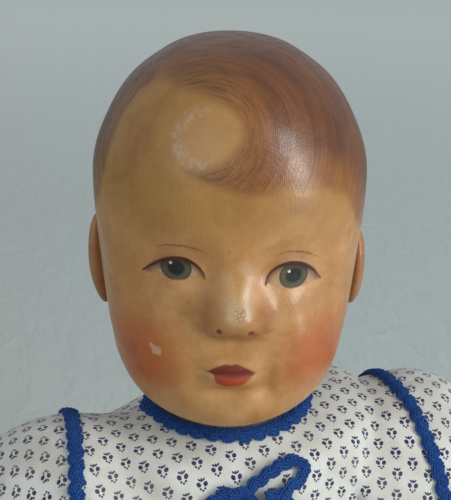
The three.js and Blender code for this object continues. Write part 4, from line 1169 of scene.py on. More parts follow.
# degrees from the front, then radius and height shares at the chest, waist, hip and hem
dressRows = [
    (-25, 0.56, 0.76, 0.62, 0.57, 0.72, 0.46, 0.95, 0.41), (0, 0.53, 0.76, 0.58, 0.57, 0.66, 0.46, 0.9, 0.41),
    (25, 0.56, 0.76, 0.62, 0.57, 0.72, 0.46, 0.95, 0.41), (40, 0.62, 0.76, 0.66, 0.57, 0.82, 0.44, 1.04, 0.39),
    (52, 0.65, 0.76, 0.67, 0.56, 0.94, 0.4, 1.14, 0.31), (62, 0.66, 0.76, 0.67, 0.55, 0.99, 0.36, 1.14, 0.24),
    (75, 0.66, 0.76, 0.66, 0.55, 0.95, 0.31, 1.07, 0.1), (90, 0.66, 0.76, 0.66, 0.55, 0.9, 0.3, 1, 0.02),
    (135, 0.58, 0.76, 0.65, 0.56, 0.78, 0.3, 0.94, 0), (180, 0.48, 0.76, 0.54, 0.57, 0.61, 0.3, 0.76, 0),
    (225, 0.58, 0.76, 0.65, 0.56, 0.78, 0.3, 0.94, 0),
]


def hemHeight(angle):
    turned = np.degrees(np.abs(np.arctan2(np.sin(angle), np.cos(angle))))
    return np.maximum(sampleRows(dressRows, turned)[:, 7] * dress["necklineHeight"], dress["hemLift"])


def neckDrop(angle):
    # the neckline sits lower behind the right shoulder
    degrees = -np.degrees(np.arctan2(np.sin(angle), np.cos(angle)))
    return dress["neckDrop"] * smooth(75, 115, degrees) * (1 - smooth(130, 178, degrees))


def dressRings(count, around, grow=0.0):
    angles = turns(around)
    turned = np.degrees(np.abs(np.arctan2(np.sin(angles), np.cos(angles))))
    values = sampleRows(dressRows, turned)
    sideways = np.sin(angles) ** 2
    columns = []
    for angle, row, sideShare in zip(angles, values, sideways):
        chestR, chestZ, waistR, waistZ, hipR, hipZ, hemR, hemZ = row
        shoulder = 0.49 + (0.66 - 0.49) * sideShare
        hemShare = max(hemZ, dress["hemLift"] / dress["necklineHeight"])
        degrees = math.degrees(math.atan2(math.sin(angle), math.cos(angle)))
        if degrees < 0:
            lower = 0.085 * float(smooth(70, 115, -degrees) * (1 - 0.9 * smooth(140, 175, -degrees)))
        else:
            lower = -0.02 * float(bell(degrees - 95, 28))
        shares = [
            (shoulder, 0.93 + 0.025 * sideShare - lower), (shoulder + (chestR - shoulder) * 0.65, 0.87),
            (chestR, chestZ),
            (waistR, waistZ), (hipR, hipZ), (hipR + (hemR - hipR) * 0.5, hipZ + (hemShare - hipZ) * 0.45),
            (hemR, hemShare),
        ]
        line = [(dress["neckOpening"], dress["necklineHeight"] - neckDrop(angle))]
        line += [(r * dress["hemHalfWidth"], z * dress["necklineHeight"]) for r, z in shares]
        line = curveThrough(line, count)
        line[:, 0] += grow
        columns.append(np.c_[line[:, 0] * np.sin(angle), -line[:, 0] * np.cos(angle), line[:, 1]])
    return np.array(columns).transpose(1, 0, 2)


def armholeRing(side, angle, shift=0.0):
    # the seam's circle; it splays outwards towards the underarm
    z = dress["armholeHeight"][side] + dress["armholeRadius"] * np.cos(angle)
    y = dress["armholeBack"] + dress["armholeRadius"] * np.sin(angle)
    top = dress["armholeHeight"][side] + dress["armholeRadius"]
    x = dress["armholePlane"][side] + shift + dress["armholeSplay"] * (top - z)
    x = x - dress["armholeYaw"][side] * (y - dress["armholeBack"] + dress["armholeRadius"])
    return np.stack([side * x, y, z], -1)


def buildDress(material, skin):
    rings = dressRings(90, 240)
    rings = np.concatenate([(rings[0] * (0.7, 0.7, 1) + (0, 0, 5))[None], rings])
    below = rings[-1] + (0, 0, -14.0)
    rings = np.concatenate([rings, (rings[-1] * 0.5 + below * 0.5)[None], below[None]])
    bellShape = closedLoft("bell", rings, material)
    pieces = [bellShape]
    angle = turns(96)
    for side in sides.values():
        tube = [armholeRing(side, angle, dx) * (1, scale, scale)
                + (0, (1 - scale) * dress["armholeBack"], (1 - scale) * dress["armholeHeight"][side])
                for dx, scale in ((-34, 0.86), (-22, 0.91), (-10, 0.97), (0, 1.0), (8, 1.0))]
        pieces.append(closedLoft("tube", np.array(tube), material))
    made = joinPieces("dress", pieces, material)
    remesh(made, dress["voxel"], 10)
    points = pointsOf(made)
    points[:, 2] -= hemHeight(np.arctan2(points[:, 0], -points[:, 1]))
    movePoints(made, points)
    cutPlane(made, (0, 0, 0), (0, 0, -1))
    points = pointsOf(made)
    points[:, 2] += hemHeight(np.arctan2(points[:, 0], -points[:, 1]))
    drop = neckDrop(np.arctan2(points[:, 0], -points[:, 1])) * smooth(120, 150, points[:, 2])
    points[:, 2] += drop
    movePoints(made, points)
    setValues(made, "drop", drop)
    cutPlane(made, (0, 0, dress["necklineHeight"] - 0.5), (0, 0, 1), only=lambda p: math.hypot(p.x, p.y) < 44)
    points = pointsOf(made)
    points[:, 2] -= [value.value for value in made.data.attributes["drop"].data]
    movePoints(made, points)
    made.data.attributes.remove(made.data.attributes["drop"])
    for side in sides.values():
        top = dress["armholeHeight"][side] + dress["armholeRadius"]
        slant = Vector((side, dress["armholeYaw"][side], dress["armholeSplay"])).normalized()
        front = dress["armholeBack"] - dress["armholeRadius"]
        place = (side * dress["armholePlane"][side], front, top)
        cutPlane(made, place, slant, only=lambda p, s=side: p.z > 70 and p.x * s > 54)
    work = bmesh.new()
    work.from_mesh(made.data)
    islands = looseShells(work)
    for shell in islands[1:]:
        bmesh.ops.delete(work, geom=shell, context="VERTS")
    work.to_mesh(made.data)
    work.free()
    made.data.update()
    wrapFlat(made)
    points, normals = pointsOf(made), normalsOf(made)
    angle = np.arctan2(points[:, 0], -points[:, 1])
    drop = smooth(112, 20, points[:, 2] + 25 * bell(angle, 0.6))
    folds = (1 + np.cos(8 * angle + np.sin(3 * angle))) / 2
    folds += 0.35 * (1 + np.cos(21 * angle + 2 * np.sin(2 * angle)))
    soft = waviness(points * (1, 1, 0.35), 34, 5) * 0.9 + waviness(points, 15, 9) * 0.25
    yoke = 1.3 * bell(waviness(points * (1, 0.5, 0.4), 30, 21) - 0.12, 0.09) * smooth(120, 140, points[:, 2]) * 0.6
    out = dress["folds"] * drop**1.3 * folds + np.clip(soft + 0.5, -0.2, 1.6) * 0.8 + yoke
    out *= smooth(-2, 8, dress["necklineHeight"] - points[:, 2]) * 0.9 + 0.1
    points += normals * out[:, None]
    # clear of the body
    under = meshTree(skin.data)
    for n in np.flatnonzero(points[:, 2] > 100):
        spot, normal, _, _ = under.find_nearest(Vector(points[n]) * mm)
        clear = (Vector(points[n]) - spot / mm).dot(normal)
        if clear < dress["clearance"]:
            points[n] += np.array(normal) * (dress["clearance"] - clear)
    movePoints(made, points)
    surface = made.data.copy()
    thicken(made, dress["wall"])
    finishCloth(made, "torso", ["dress_body"])
    return made, surface


def looseShells(work):
    seen, shells = set(), []
    for start in work.verts:
        if start in seen:
            continue
        stack, shell = [start], []
        seen.add(start)
        while stack:
            vert = stack.pop()
            shell.append(vert)
            for edge in vert.link_edges:
                other = edge.other_vert(vert)
                if other not in seen:
                    seen.add(other)
                    stack.append(other)
        shells.append(shell)
    return sorted(shells, key=len, reverse=True)


def finishCloth(made, rides, nodes):
    if rides:
        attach(made, rides)
    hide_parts(*nodes)


# sleeves

sleeve = {"around": 150, "rows": 46, "gathers": 22, "gatherDepth": 1.5, "wall": 0.9, "patternRadius": 45}


def armLine(side):
    start = np.array([body["shoulderPlane"] + body["gap"] + arm["radius"] * arm["seat"], 0, body["shoulderHeight"]])
    line = []
    for along, forward in ((0, 0), (0.22, 0), (0.45, 0.015), (0.7, 0.09), (0.85, 0.16), (1, 0.23)):
        share = along * along * (3 - 2 * along)
        splay = math.radians(arm["splay"] + (arm["handSplay"] - arm["splay"]) * share)
        place = np.array([along * math.sin(splay), -forward, -along * math.cos(splay)]) * arm["reach"]
        line.append((start + place) * (side, 1, 1))
    return np.array(line)


def armAt(side, share):
    dense = curveThrough(armLine(side), 400)
    lengths = np.r_[0, np.cumsum(np.linalg.norm(np.diff(dense, axis=0), axis=1))]
    i = min(int(np.searchsorted(lengths, share * lengths[-1])), 398)
    along = dense[i + 1] - dense[i]
    return dense[i], along / np.linalg.norm(along)


def sleeveRings(side):
    angle = turns(sleeve["around"])
    cuff, along = armAt(side, arm["cuffShare"])
    seam = armholeRing(side, angle, 0.3)
    middle = seam.mean(0)
    bulge = middle + np.array([side * 26.0, 4.0, 4.0 if side > 0 else -7.0])
    rings = []
    for share in np.linspace(0, 1, sleeve["rows"]):
        centre = middle * (1 - share) ** 2 + bulge * 2 * share * (1 - share) + cuff * share**2
        axis = np.array([side, 0, 0.12]) * (1 - share) + along * share
        axis = unit(axis)
        depth = np.array([0.0, 1, 0]) - axis * axis[1]
        depth = unit(depth)
        rise = np.cross(axis, depth) * side
        radius = sampleRows([(0, 46), (0.12, 46.5), (0.35, 42.5), (0.6, 33), (0.82, 22), (0.94, 15.5), (1, 13.6)],
                            share)[0, 0]
        gather = sleeve["gatherDepth"] * (smooth(0.55, 0.95, share) + 0.5 * smooth(0.14, 0, share))
        wave = gather * (np.sin(sleeve["gathers"] * angle + 1.3 * np.sin(3 * angle)) * 0.5 + 0.5)
        slack = 1.6 * np.sin(5 * angle + 9 * share) * share * (1 - share) * 2
        reach = radius + wave + slack
        ring = centre + rise * (reach * np.cos(angle))[:, None] + depth * (reach * np.sin(angle))[:, None]
        blend = float(smooth(0, 0.16, share))
        rings.append((seam + (ring - seam) * blend))
    return np.array(rings)


def gridUv(made, rows, around, u, v, turned=False):
    # a tube's pattern coordinates, in metres, with its seam between the last point and the first
    v = np.broadcast_to(np.asarray(v).reshape(rows, -1), (rows, around))
    mesh = made.data
    mesh.uv_layers.new(name="cloth")
    values = np.zeros((len(mesh.loops), 2))
    for polygon in mesh.polygons:
        corners = list(polygon.vertices)
        columns = [i % around for i in corners]
        wraps = max(columns) - min(columns) > around / 2
        for loop, corner, column in zip(polygon.loop_indices, corners, columns):
            if corner >= rows * around:
                continue
            step = column + (around if wraps and column < around / 2 else 0)
            values[loop] = (u(step / around), v[corner // around, column])
    if turned:
        values = values[:, ::-1]
    mesh.uv_layers["cloth"].data.foreach_set("uv", (values * mm).ravel())


def openTube(name, rings, material, u, v, turned=False):
    rows, around = rings.shape[:2]
    made = newMesh(name, rings.reshape(-1, 3), gridFaces(rows, around), material)
    middles = rings.mean(1)
    outward = sum(
        np.dot(np.array(f.normal), np.array(f.center) / mm - middles[f.vertices[0] // around])
        for f in made.data.polygons
    )
    if outward < 0:
        made.data.flip_normals()
    gridUv(made, rows, around, u, v, turned)
    return made


def buildSleeve(name, side, material):
    rings = sleeveRings(side)
    smoothed = smoothLoop(rings.transpose(1, 0, 2), 12).transpose(1, 0, 2)
    steps = np.linalg.norm(np.diff(smoothed, axis=0), axis=2)
    lengths = np.vstack([np.zeros(rings.shape[1]), np.cumsum(steps, axis=0)])
    girth = 2 * math.pi * sleeve["patternRadius"]
    upright = 1 if side > 0 else -1
    made = openTube(name + "_sleeve_cloth", rings, material, lambda t: t * girth * upright, lengths * side,
                    turned=True)
    thicken(made, sleeve["wall"])
    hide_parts(name + "_sleeve")
    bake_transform(made)
    return rings


# crocheted trim and tie

crochet = {
    "pitch": 6.2,  # from one scallop to the next
    "width": 6.4,
    "step": 1.35,  # from one stitch to the next in a row
    "yarn": 0.4,  # radius
    "stitch": 1.55,
    "lift": 0.9,
    "uneven": 0.14,
    "seed": 4,
}


def stitchTree():
    # lays a two-legged stitch on every point that has a size, and keeps the band under them
    tree = bpy.data.node_groups.new("crochetStitches", "GeometryNodeTree")
    for name, kind, value in (("Geometry", "Geometry", None), ("Yarn radius", "Float", crochet["yarn"] * mm),
                              ("Stitch length", "Float", crochet["stitch"] * mm),
                              ("Lift", "Float", crochet["lift"] * mm),
                              ("Uneven", "Float", crochet["uneven"]), ("Seed", "Int", crochet["seed"]),
                              ("Material", "Material", None)):
        socket = tree.interface.new_socket(name, in_out="INPUT", socket_type="NodeSocket" + kind)
        if value is not None:
            socket.default_value = value
    tree.interface.new_socket("Geometry", in_out="OUTPUT", socket_type="NodeSocketGeometry")
    wire = Wiring(tree)
    given, made = wire.node("NodeGroupInput").outputs, wire.node("NodeGroupOutput").inputs

    def named(name, kind):
        node = wire.node("GeometryNodeInputNamedAttribute", data_type=kind)
        node.inputs["Name"].default_value = name
        return node.outputs[0]

    profile = wire.node("GeometryNodeCurvePrimitiveCircle")
    profile.inputs["Resolution"].default_value = 5
    wire.feed(profile.inputs["Radius"], given["Yarn radius"])
    both = wire.node("GeometryNodeJoinGeometry")
    for hand in (1, -1):
        curve = wire.node("GeometryNodeCurveQuadraticBezier")
        curve.inputs["Resolution"].default_value = 3
        half = wire.times(given["Stitch length"], 0.5)
        side = wire.times(given["Stitch length"], 0.34 * hand)
        wire.feed(curve.inputs["Start"], wire.join(wire.times(half, -1.0), wire.times(side, 0.2), 0.0))
        wire.feed(curve.inputs["Middle"], wire.join(0.0, wire.times(side, 1.6), given["Lift"]))
        wire.feed(curve.inputs["End"], wire.join(half, wire.times(side, 0.9), 0.0))
        strand = wire.node("GeometryNodeCurveToMesh")
        wire.feed(strand.inputs["Curve"], curve.outputs[0])
        wire.feed(strand.inputs["Profile Curve"], profile.outputs[0])
        strand.inputs["Fill Caps"].default_value = True
        wire.feed(both.inputs[0], strand.outputs[0])
    axes = wire.node("FunctionNodeAxesToRotation", primary_axis="Z", secondary_axis="X")
    wire.feed(axes.inputs[0], named("outward", "FLOAT_VECTOR"))
    wire.feed(axes.inputs[1], named("along", "FLOAT_VECTOR"))
    vary = wire.node("FunctionNodeRandomValue", data_type="FLOAT")
    low = wire.minus(1.0, given["Uneven"])
    high = wire.plus(1.0, given["Uneven"])
    floats = [s for s in vary.inputs if s.type == "VALUE" and s.enabled]
    wire.feed(floats[0], low)
    wire.feed(floats[1], high)
    wire.feed(vary.inputs["Seed"], given["Seed"])
    size = named("size", "FLOAT")
    random = [s for s in vary.outputs if s.enabled][0]
    scale = wire.times(size, random)
    isStitch = wire.node("FunctionNodeCompare", data_type="FLOAT", operation="GREATER_THAN")
    wire.feed(isStitch.inputs[0], size)
    isStitch.inputs[1].default_value = 0.01
    place = wire.node("GeometryNodeInstanceOnPoints")
    wire.feed(place.inputs["Points"], given["Geometry"])
    wire.feed(place.inputs["Selection"], isStitch.outputs[0])
    wire.feed(place.inputs["Instance"], both.outputs[0])
    wire.feed(place.inputs["Rotation"], axes.outputs[0])
    wire.feed(place.inputs["Scale"], scale)
    real = wire.node("GeometryNodeRealizeInstances")
    wire.feed(real.inputs[0], place.outputs[0])
    band = wire.node("GeometryNodeDeleteGeometry", domain="POINT")
    wire.feed(band.inputs["Geometry"], given["Geometry"])
    wire.feed(band.inputs["Selection"], isStitch.outputs[0])
    join = wire.node("GeometryNodeJoinGeometry")
    wire.feed(join.inputs[0], real.outputs[0])
    wire.feed(join.inputs[0], band.outputs[0])
    shade = wire.node("GeometryNodeSetShadeSmooth")
    wire.feed(shade.inputs[0], join.outputs[0])
    finish = wire.node("GeometryNodeSetMaterial")
    wire.feed(finish.inputs["Geometry"], shade.outputs[0])
    wire.feed(finish.inputs["Material"], given["Material"])
    wire.feed(made["Geometry"], finish.outputs[0])
    return tree


def crochetPiece(name, path, outward, across, tree, material, closed=True, bothEdges=False, width=None, pitch=None,
                 step=None):
    # path runs along the plain edge or, where both edges wave, along the middle
    width = width or crochet["width"]
    step = step or crochet["step"]
    path, outward, across = (np.asarray(a, float) for a in (path, outward, across))
    if closed:
        path, outward, across = (np.vstack([a, a[:1]]) for a in (path, outward, across))
    lengths = np.r_[0, np.cumsum(np.linalg.norm(np.diff(path, axis=0), axis=1))]
    scallops = max(3, round(lengths[-1] / (pitch or crochet["pitch"])))
    pitch = lengths[-1] / scallops

    def at(distance, sideways, out):
        distance = np.mod(distance, lengths[-1]) if closed else np.clip(distance, 0, lengths[-1])
        where = np.stack([np.interp(distance, lengths, path[:, i]) for i in range(3)], -1)
        normal = np.stack([np.interp(distance, lengths, outward[:, i]) for i in range(3)], -1)
        lateral = np.stack([np.interp(distance, lengths, across[:, i]) for i in range(3)], -1)
        normal = unit(normal)
        lateral -= normal * (lateral * normal).sum(-1, keepdims=True)
        lateral = unit(lateral)
        return where + lateral * sideways[..., None] + normal * out[..., None], normal, lateral

    def edges(distance):
        # how far the two edges lie to the sides, with round scallops
        def scallop(shift):
            turn = np.mod(distance / pitch + shift, 1.0) * 2 - 1
            return 1 - np.abs(turn) ** 2.2

        if bothEdges:
            return -width * (0.27 + 0.22 * scallop(0.5)), width * (0.27 + 0.24 * scallop(0.0))
        return np.full(np.shape(distance), 0.02 * width), width * (0.66 + 0.34 * scallop(0.0))

    rows = max(4, round(width / step / 0.97))
    perRow = round(lengths[-1] / step)
    stations, sideways, lift = [], [], []
    for row in range(rows):
        here = (np.arange(perRow) + 0.5 * (row % 2) + (0 if closed else 0.25)) * lengths[-1] / perRow
        low, high = edges(here)
        low, high = low + (0.7 if bothEdges else 0.2), high - 0.7
        share = row / (rows - 1)
        stations.append(here)
        sideways.append(low + (high - low) * share)
        lift.append(np.full(perRow, 0.55 + 0.75 * math.sin(math.pi * share)))
    stations, sideways, lift = (np.concatenate(a) for a in (stations, sideways, lift))
    slope = (np.concatenate([sideways[1:], sideways[-1:]]) - np.concatenate([sideways[:1], sideways[:-1]])) / 2
    slope = np.clip(slope / step, -1.0, 1.0)
    tilt = np.where(np.arange(len(stations)) % 2 == 0, 0.12, -0.12)
    heading = np.arctan(slope) + tilt
    size = np.full(len(stations), step / crochet["step"])
    places, normals, laterals = at(stations, sideways, lift)
    ahead = np.cross(laterals, normals)
    forward, *_ = at(stations + 0.3, sideways, lift)
    behind, *_ = at(stations - 0.3, sideways, lift)
    sign = np.sign(((forward - behind) * ahead).sum(-1, keepdims=True))
    ahead *= np.where(sign == 0, 1, sign)
    along = ahead * np.cos(heading)[:, None] + laterals * np.sin(heading)[:, None]
    # the band under the stitches
    steps = scallops * 8
    run = (np.arange(steps + (0 if closed else 1))) * lengths[-1] / steps
    low, high = edges(run)
    low, high = low + 0.35, high - 0.35
    flatRun = np.ones(len(run))
    sections = [at(run, low + 0.3, 0.1 * flatRun)[0], at(run, low, 0.5 * flatRun)[0],
                at(run, (low + high) / 2, 1.35 * flatRun)[0], at(run, high, 0.5 * flatRun)[0],
                at(run, high - 0.3, 0.1 * flatRun)[0]]
    band = np.stack(sections, 1)
    faces = []
    count = len(run)
    for i in range(count if closed else count - 1):
        j = (i + 1) % count
        for k in range(5):
            m = (k + 1) % 5
            faces.append([i * 5 + k, i * 5 + m, j * 5 + m, j * 5 + k])
    if not closed:
        faces += [list(range(5)), [(count - 1) * 5 + k for k in range(4, -1, -1)]]
    # a beaded cord along each wavy edge
    parts = [band.reshape(-1, 3)]
    beads = round(lengths[-1] / 0.66)
    run = (np.arange(beads + (0 if closed else 1)) + 0.5) * lengths[-1] / beads
    turn = turns(5)
    for which in (0, 1) if bothEdges else (1,):
        edge = edges(run)[which] + (0.45 if which == 0 else -0.45)
        thick = np.where(np.arange(len(run)) % 2 == 0, 0.62, 0.46)
        rings = [at(run, edge + thick * math.cos(t), 0.55 + thick * math.sin(t))[0] for t in turn]
        first = sum(len(part) for part in parts)
        parts.append(np.stack(rings, 1).reshape(-1, 3))
        faces += (gridFaces(len(run), 5) + first).tolist()
        if closed:
            faces += [[first + (len(run) - 1) * 5 + k, first + (len(run) - 1) * 5 + (k + 1) % 5,
                       first + (k + 1) % 5, first + k] for k in range(5)]
        else:
            faces += [[first + k for k in range(5)], [first + (len(run) - 1) * 5 + k for k in range(4, -1, -1)]]
    solid = np.vstack(parts)
    base = newMesh(name, np.vstack([solid, places]), faces, material)
    zeros = np.zeros((len(solid), 3))
    setValues(base, "outward", np.vstack([zeros + (0, 0, 1), normals]))
    setValues(base, "along", np.vstack([zeros + (1, 0, 0), along]))
    setValues(base, "size", np.r_[np.zeros(len(zeros)), size])
    turnOutward(base)
    modifier = base.modifiers.new("stitches", "NODES")
    modifier.node_group = tree
    sockets = {item.name: item.identifier for item in tree.interface.items_tree if item.in_out == "INPUT"}
    modifier[sockets["Material"]] = material
    modifier[sockets["Seed"]] = crochet["seed"] + len(name)
    applyModifiers(base)
    return base


def nearestOn(tree, places):
    # places on a surface, a little proud of it, and its directions there
    out = 0.2
    found = [tree.find_nearest(Vector(place) * mm) for place in places]
    spots = np.array([list(hit[0]) for hit in found]) / mm
    normals = np.array([list(hit[1]) for hit in found])
    return spots + normals * out, normals


def smoothLoop(values, rounds=6):
    for _ in range(rounds):
        values = (values + np.roll(values, 1, 0) + np.roll(values, -1, 0)) / 3
    return values


def meshTree(mesh):
    work = bmesh.new()
    work.from_mesh(mesh)
    tree = BVHTree.FromBMesh(work)
    work.free()
    return tree


tie = {"width": 5.6}
# the tie's loops and ends: across, height, lift off the cloth
tieRuns = [
    [(-10, 143, 2.2), (-9.5, 148, 2.2), (-5.5, 151.4, 2.2), (0, 153.6, 2.0), (6, 155.4, 1.6), (12, 156.4, 1.2),
     (16.4, 155.6, 1.0), (17.4, 152.6, 1.0), (13.6, 150, 1.4), (8.8, 148.6, 2.4), (6.5, 144.6, 3.0),
     (1, 142, 3.8), (-6, 143, 3.8)],
    [(-4, 144, 3.4), (-9, 149.4, 2.8), (-15, 150.2, 2.2), (-20.5, 147.6, 1.4), (-21.5, 143, 1.0),
     (-17.5, 140.6, 1.4), (-11, 141.4, 2.8), (-6, 143, 3.6)],
    [(0, 147, 2.4), (6, 147, 1.6), (9.4, 142.6, 1.0), (10.5, 133, 0.8), (9.5, 121, 0.8)],
    [(-6, 143.5, 2.0), (-10, 136, 1.4), (-12.5, 127, 0.8), (-12, 116, 0.8)],
    [(-8.5, 146.5, 4.8), (-5, 145.5, 6.2), (-3, 141.5, 4.6)],
]


def buildTie(dressTree, tree, material):
    pieces = []
    for n, run in enumerate(tieRuns):
        line = curveThrough(run, 60)
        spots, normals = [], []
        for x, z, lift in line:
            hit = dressTree.ray_cast(Vector((x, -200, z)) * mm, Vector((0, 1, 0)))
            spots.append(np.array(hit[0]) / mm + np.array(hit[1]) * lift)
            normals.append(np.array(hit[1]))
        spots, normals = np.array(spots), np.array(normals)
        for _ in range(4):
            normals[1:-1] = (normals[:-2] + normals[1:-1] + normals[2:]) / 3
        ahead = np.gradient(spots, axis=0)
        across = np.cross(ahead, normals)
        pieces.append(crochetPiece("tie" + str(n), spots, normals, across, tree, material, closed=False,
                                   bothEdges=True, width=tie["width"]))
    made = joinPieces("tie", pieces, material)
    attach(made, "torso")
    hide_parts("neck_bow")
    return made


def buildTrims(dressSurface, sleeves, tree, material):
    dressTree = meshTree(dressSurface)
    angle = turns(240)
    # neck
    spots = np.stack([30.4 * np.sin(angle), -30.4 * np.cos(angle), 165.9 - neckDrop(angle)], -1)
    outer, normals = nearestOn(dressTree, np.stack([36.6 * np.sin(angle), -36.6 * np.cos(angle),
                                                    163.4 - neckDrop(angle)], -1))
    normals, outer = smoothLoop(normals, 10), smoothLoop(outer)
    trim = crochetPiece("neck_edging", spots, normals, outer - spots, tree, material, width=6.4, pitch=5.6)
    trims = [(trim, "torso", "neck_trim")]
    # armholes
    for name, side in sides.items():
        ring = armholeRing(side, angle, -2.2)
        further = armholeRing(side, angle, -6)
        spots, normals = nearestOn(dressTree, ring)
        there, _ = nearestOn(dressTree, further)
        spots, normals, there = smoothLoop(spots), smoothLoop(normals, 12), smoothLoop(there)
        trim = crochetPiece(name + "_armhole_edging", spots, normals, there - spots, tree, material, bothEdges=True,
                            width=6.6)
        trims.append((trim, "torso", name + "_armhole_trim"))
    # hem
    rim = dressRings(60, 360, 1.0)
    spots, normals = nearestOn(dressTree, rim[-1])
    above, _ = nearestOn(dressTree, rim[-5])
    spots, normals, above = smoothLoop(spots, 3), smoothLoop(normals, 3), smoothLoop(above, 3)
    up = above - spots
    up = unit(up)
    trim = crochetPiece("hem_edging", spots + up * 6.6, normals, -up, tree, material, width=6.8, step=1.9)
    trims.append((trim, "torso", "hem_trim"))
    # cuffs
    for name, side in sides.items():
        last, before = sleeves[name][-1], sleeves[name][-3]
        ring = smoothLoop(last, 3)
        centre = ring.mean(0)
        out = ring - centre
        out = unit(out)
        along = centre - before.mean(0)
        along = unit(along)
        trim = crochetPiece(name + "_cuff_edging", centre + out * 12.6 - along * 0.8, out,
                            np.tile(along, (len(ring), 1)), tree, material, width=6.4)
        trims.append((trim, name + "_arm", name + "_cuff_trim"))
    for made, rides, node in trims:
        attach(made, rides)
        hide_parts(node)
    print("trims", sum(len(made.data.polygons) for made, *_ in trims), "faces")
    return dressTree


# arms and legs

armRows = [(0, 1, 1), (0.2, 1, 1), (0.42, 0.82, 0.84), (0.56, 0.87, 0.87), (0.77, 0.6, 0.62), (0.86, 0.73, 0.46),
           (0.94, 0.66, 0.4), (0.98, 0.42, 0.3), (1, 0.16, 0.14)]
legRows = [(0, 0.98, 0.98), (0.18, 1.02, 1), (0.5, 0.8, 0.8), (0.62, 0.78, 0.8), (0.78, 0.74, 0.78),
           (0.93, 0.52, 0.56), (1, 0.5, 0.56)]
footRows = [(0, 0.3, 0.3), (0.06, 0.62, 0.78), (0.2, 0.8, 1), (0.45, 0.84, 0.78), (0.72, 1, 0.58), (0.9, 0.9, 0.44),
            (1, 0.42, 0.2)]
thumbRows = [(0, 0.7, 0.7), (0.4, 1, 1), (0.85, 0.9, 0.9), (1, 0.4, 0.4)]


def scaled(rows, wide, thick):
    return [(share, a * wide, b * thick) for share, a, b in rows]


def addSeam(made, lines):
    # distance from the sewn lines, and the way along them, for the material
    points = pointsOf(made)
    distance, along = np.full(len(points), 99.0), np.zeros(len(points))
    for line in lines:
        found, share = lineDistance(points, line)
        nearer = found < distance
        distance[nearer] = found[nearer]
        along[nearer] = share[nearer] * np.linalg.norm(np.diff(np.array(line), axis=0), axis=1).sum()
    setValues(made, "seam", distance)
    setValues(made, "seamAlong", along)
    return distance


def buildArm(name, side, material):
    rows = scaled(armRows, arm["radius"], arm["radius"])
    rings, centres, _ = sweepRings(armLine(side), rows, np.array([0.0, 1, 0]), 96, 150, domed=True)
    made = closedLoft(name + "_arm_skin", rings, material)
    cutPlane(made, (side * (body["shoulderPlane"] + body["gap"]), 0, 0), (-side, 0, 0), fill=True)
    # fingers: three sewn lines down the hand
    tip, along = armAt(side, 0.985)
    palm, _ = armAt(side, 0.88)
    front = np.array([0, -1.0, 0]) + along * along[1]
    front = unit(front)
    thin = np.cross(front, along)
    half = sampleRows(rows, np.arange(4, 144, 5) / 149)[:, 0]
    back = centres[4:144:5] + half[:, None] * (0, 1, 0)
    points = pointsOf(made)
    distance = np.full(len(points), 99.0)
    for f in (-0.48, 0.0, 0.48):
        start, end = palm + (tip - palm) * 0.3 + front * f * 11, tip + along * 3 + front * f * 9
        delta = points - start
        reach = (end - start) / np.linalg.norm(end - start)
        t = delta @ reach
        off = delta @ np.cross(reach, thin) / np.linalg.norm(np.cross(reach, thin))
        groove = bell(off, 0.9) * smooth(0, 3, t)
        height = delta @ thin
        points -= (np.sign(height) * np.minimum(1.5, np.abs(height) * 0.45) * groove)[:, None] * thin
        points -= along * (groove * smooth(0.93, 1.0, t / np.linalg.norm(end - start)) * 2.2)[:, None]
        distance = np.minimum(distance, np.where(t > 0, np.abs(off), 99))
    points += normalsOf(made) * (waviness(points, 26, 31 + side) * 0.5 + waviness(points, 9, 3) * 0.15)[:, None]
    movePoints(made, points)
    found = addSeam(made, [back])
    joined = np.minimum(found, distance)
    made.data.attributes.remove(made.data.attributes["seam"])
    setValues(made, "seam", joined)
    thumb, *_ = sweepRings(thumbLine(side), scaled(thumbRows, arm["radius"] / 4, arm["radius"] / 4),
                           np.array([side * 1.0, 0, 0]), 32, 26, domed=True)
    thumbMade = closedLoft(name + "_thumb_skin", thumb, material)
    addSeam(thumbMade, [thumb[::3, 16]])
    for piece, node in ((made, "arm_cover"), (thumbMade, "thumb")):
        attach(piece, name + "_arm")
        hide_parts(name + "_" + node)


def thumbLine(side):
    palm, along = armAt(side, 0.86)
    front = np.array([0, -1.0, 0]) + along * along[1]
    front = unit(front)
    half = sampleRows(armRows, 0.86)[0, 0] * arm["radius"]
    reach = arm["radius"] / 4
    root = palm + front * (half + body["gap"] + reach / 3)
    middle = root + front * reach + along * reach
    tip = middle + along * 2 * reach + front * reach / 2
    return np.array([root - along * reach, middle, tip])


def legLine(side):
    start = np.array([body["hipPlane"] + body["gap"] + leg["radius"] * leg["seat"], body["hipBack"],
                      body["hipHeight"]])
    places = ((0, 0, 0), (0.02, 0.24, 0), (0.05, 0.5, -0.015), (0.085, 0.75, -0.05), (0.12, 1, -0.04))
    return np.array([(start + np.array([out, -along, rise]) * leg["reach"]) * (side, 1, 1)
                     for out, along, rise in places])


def footLine(side):
    ankle = legLine(side)[-1]
    toeOut = leg["footLength"] * 0.22
    low = leg["floorGap"]
    return np.array([
        (ankle[0], ankle[1] - leg["footThickness"] * 0.1, low),
        (ankle[0] + side * toeOut * 0.4, ankle[1] - leg["footThickness"] * 0.22, low + leg["footLength"] * 0.45),
        (ankle[0] + side * toeOut, ankle[1] - leg["footThickness"] * 0.62, low + leg["footLength"] * 0.95),
    ])


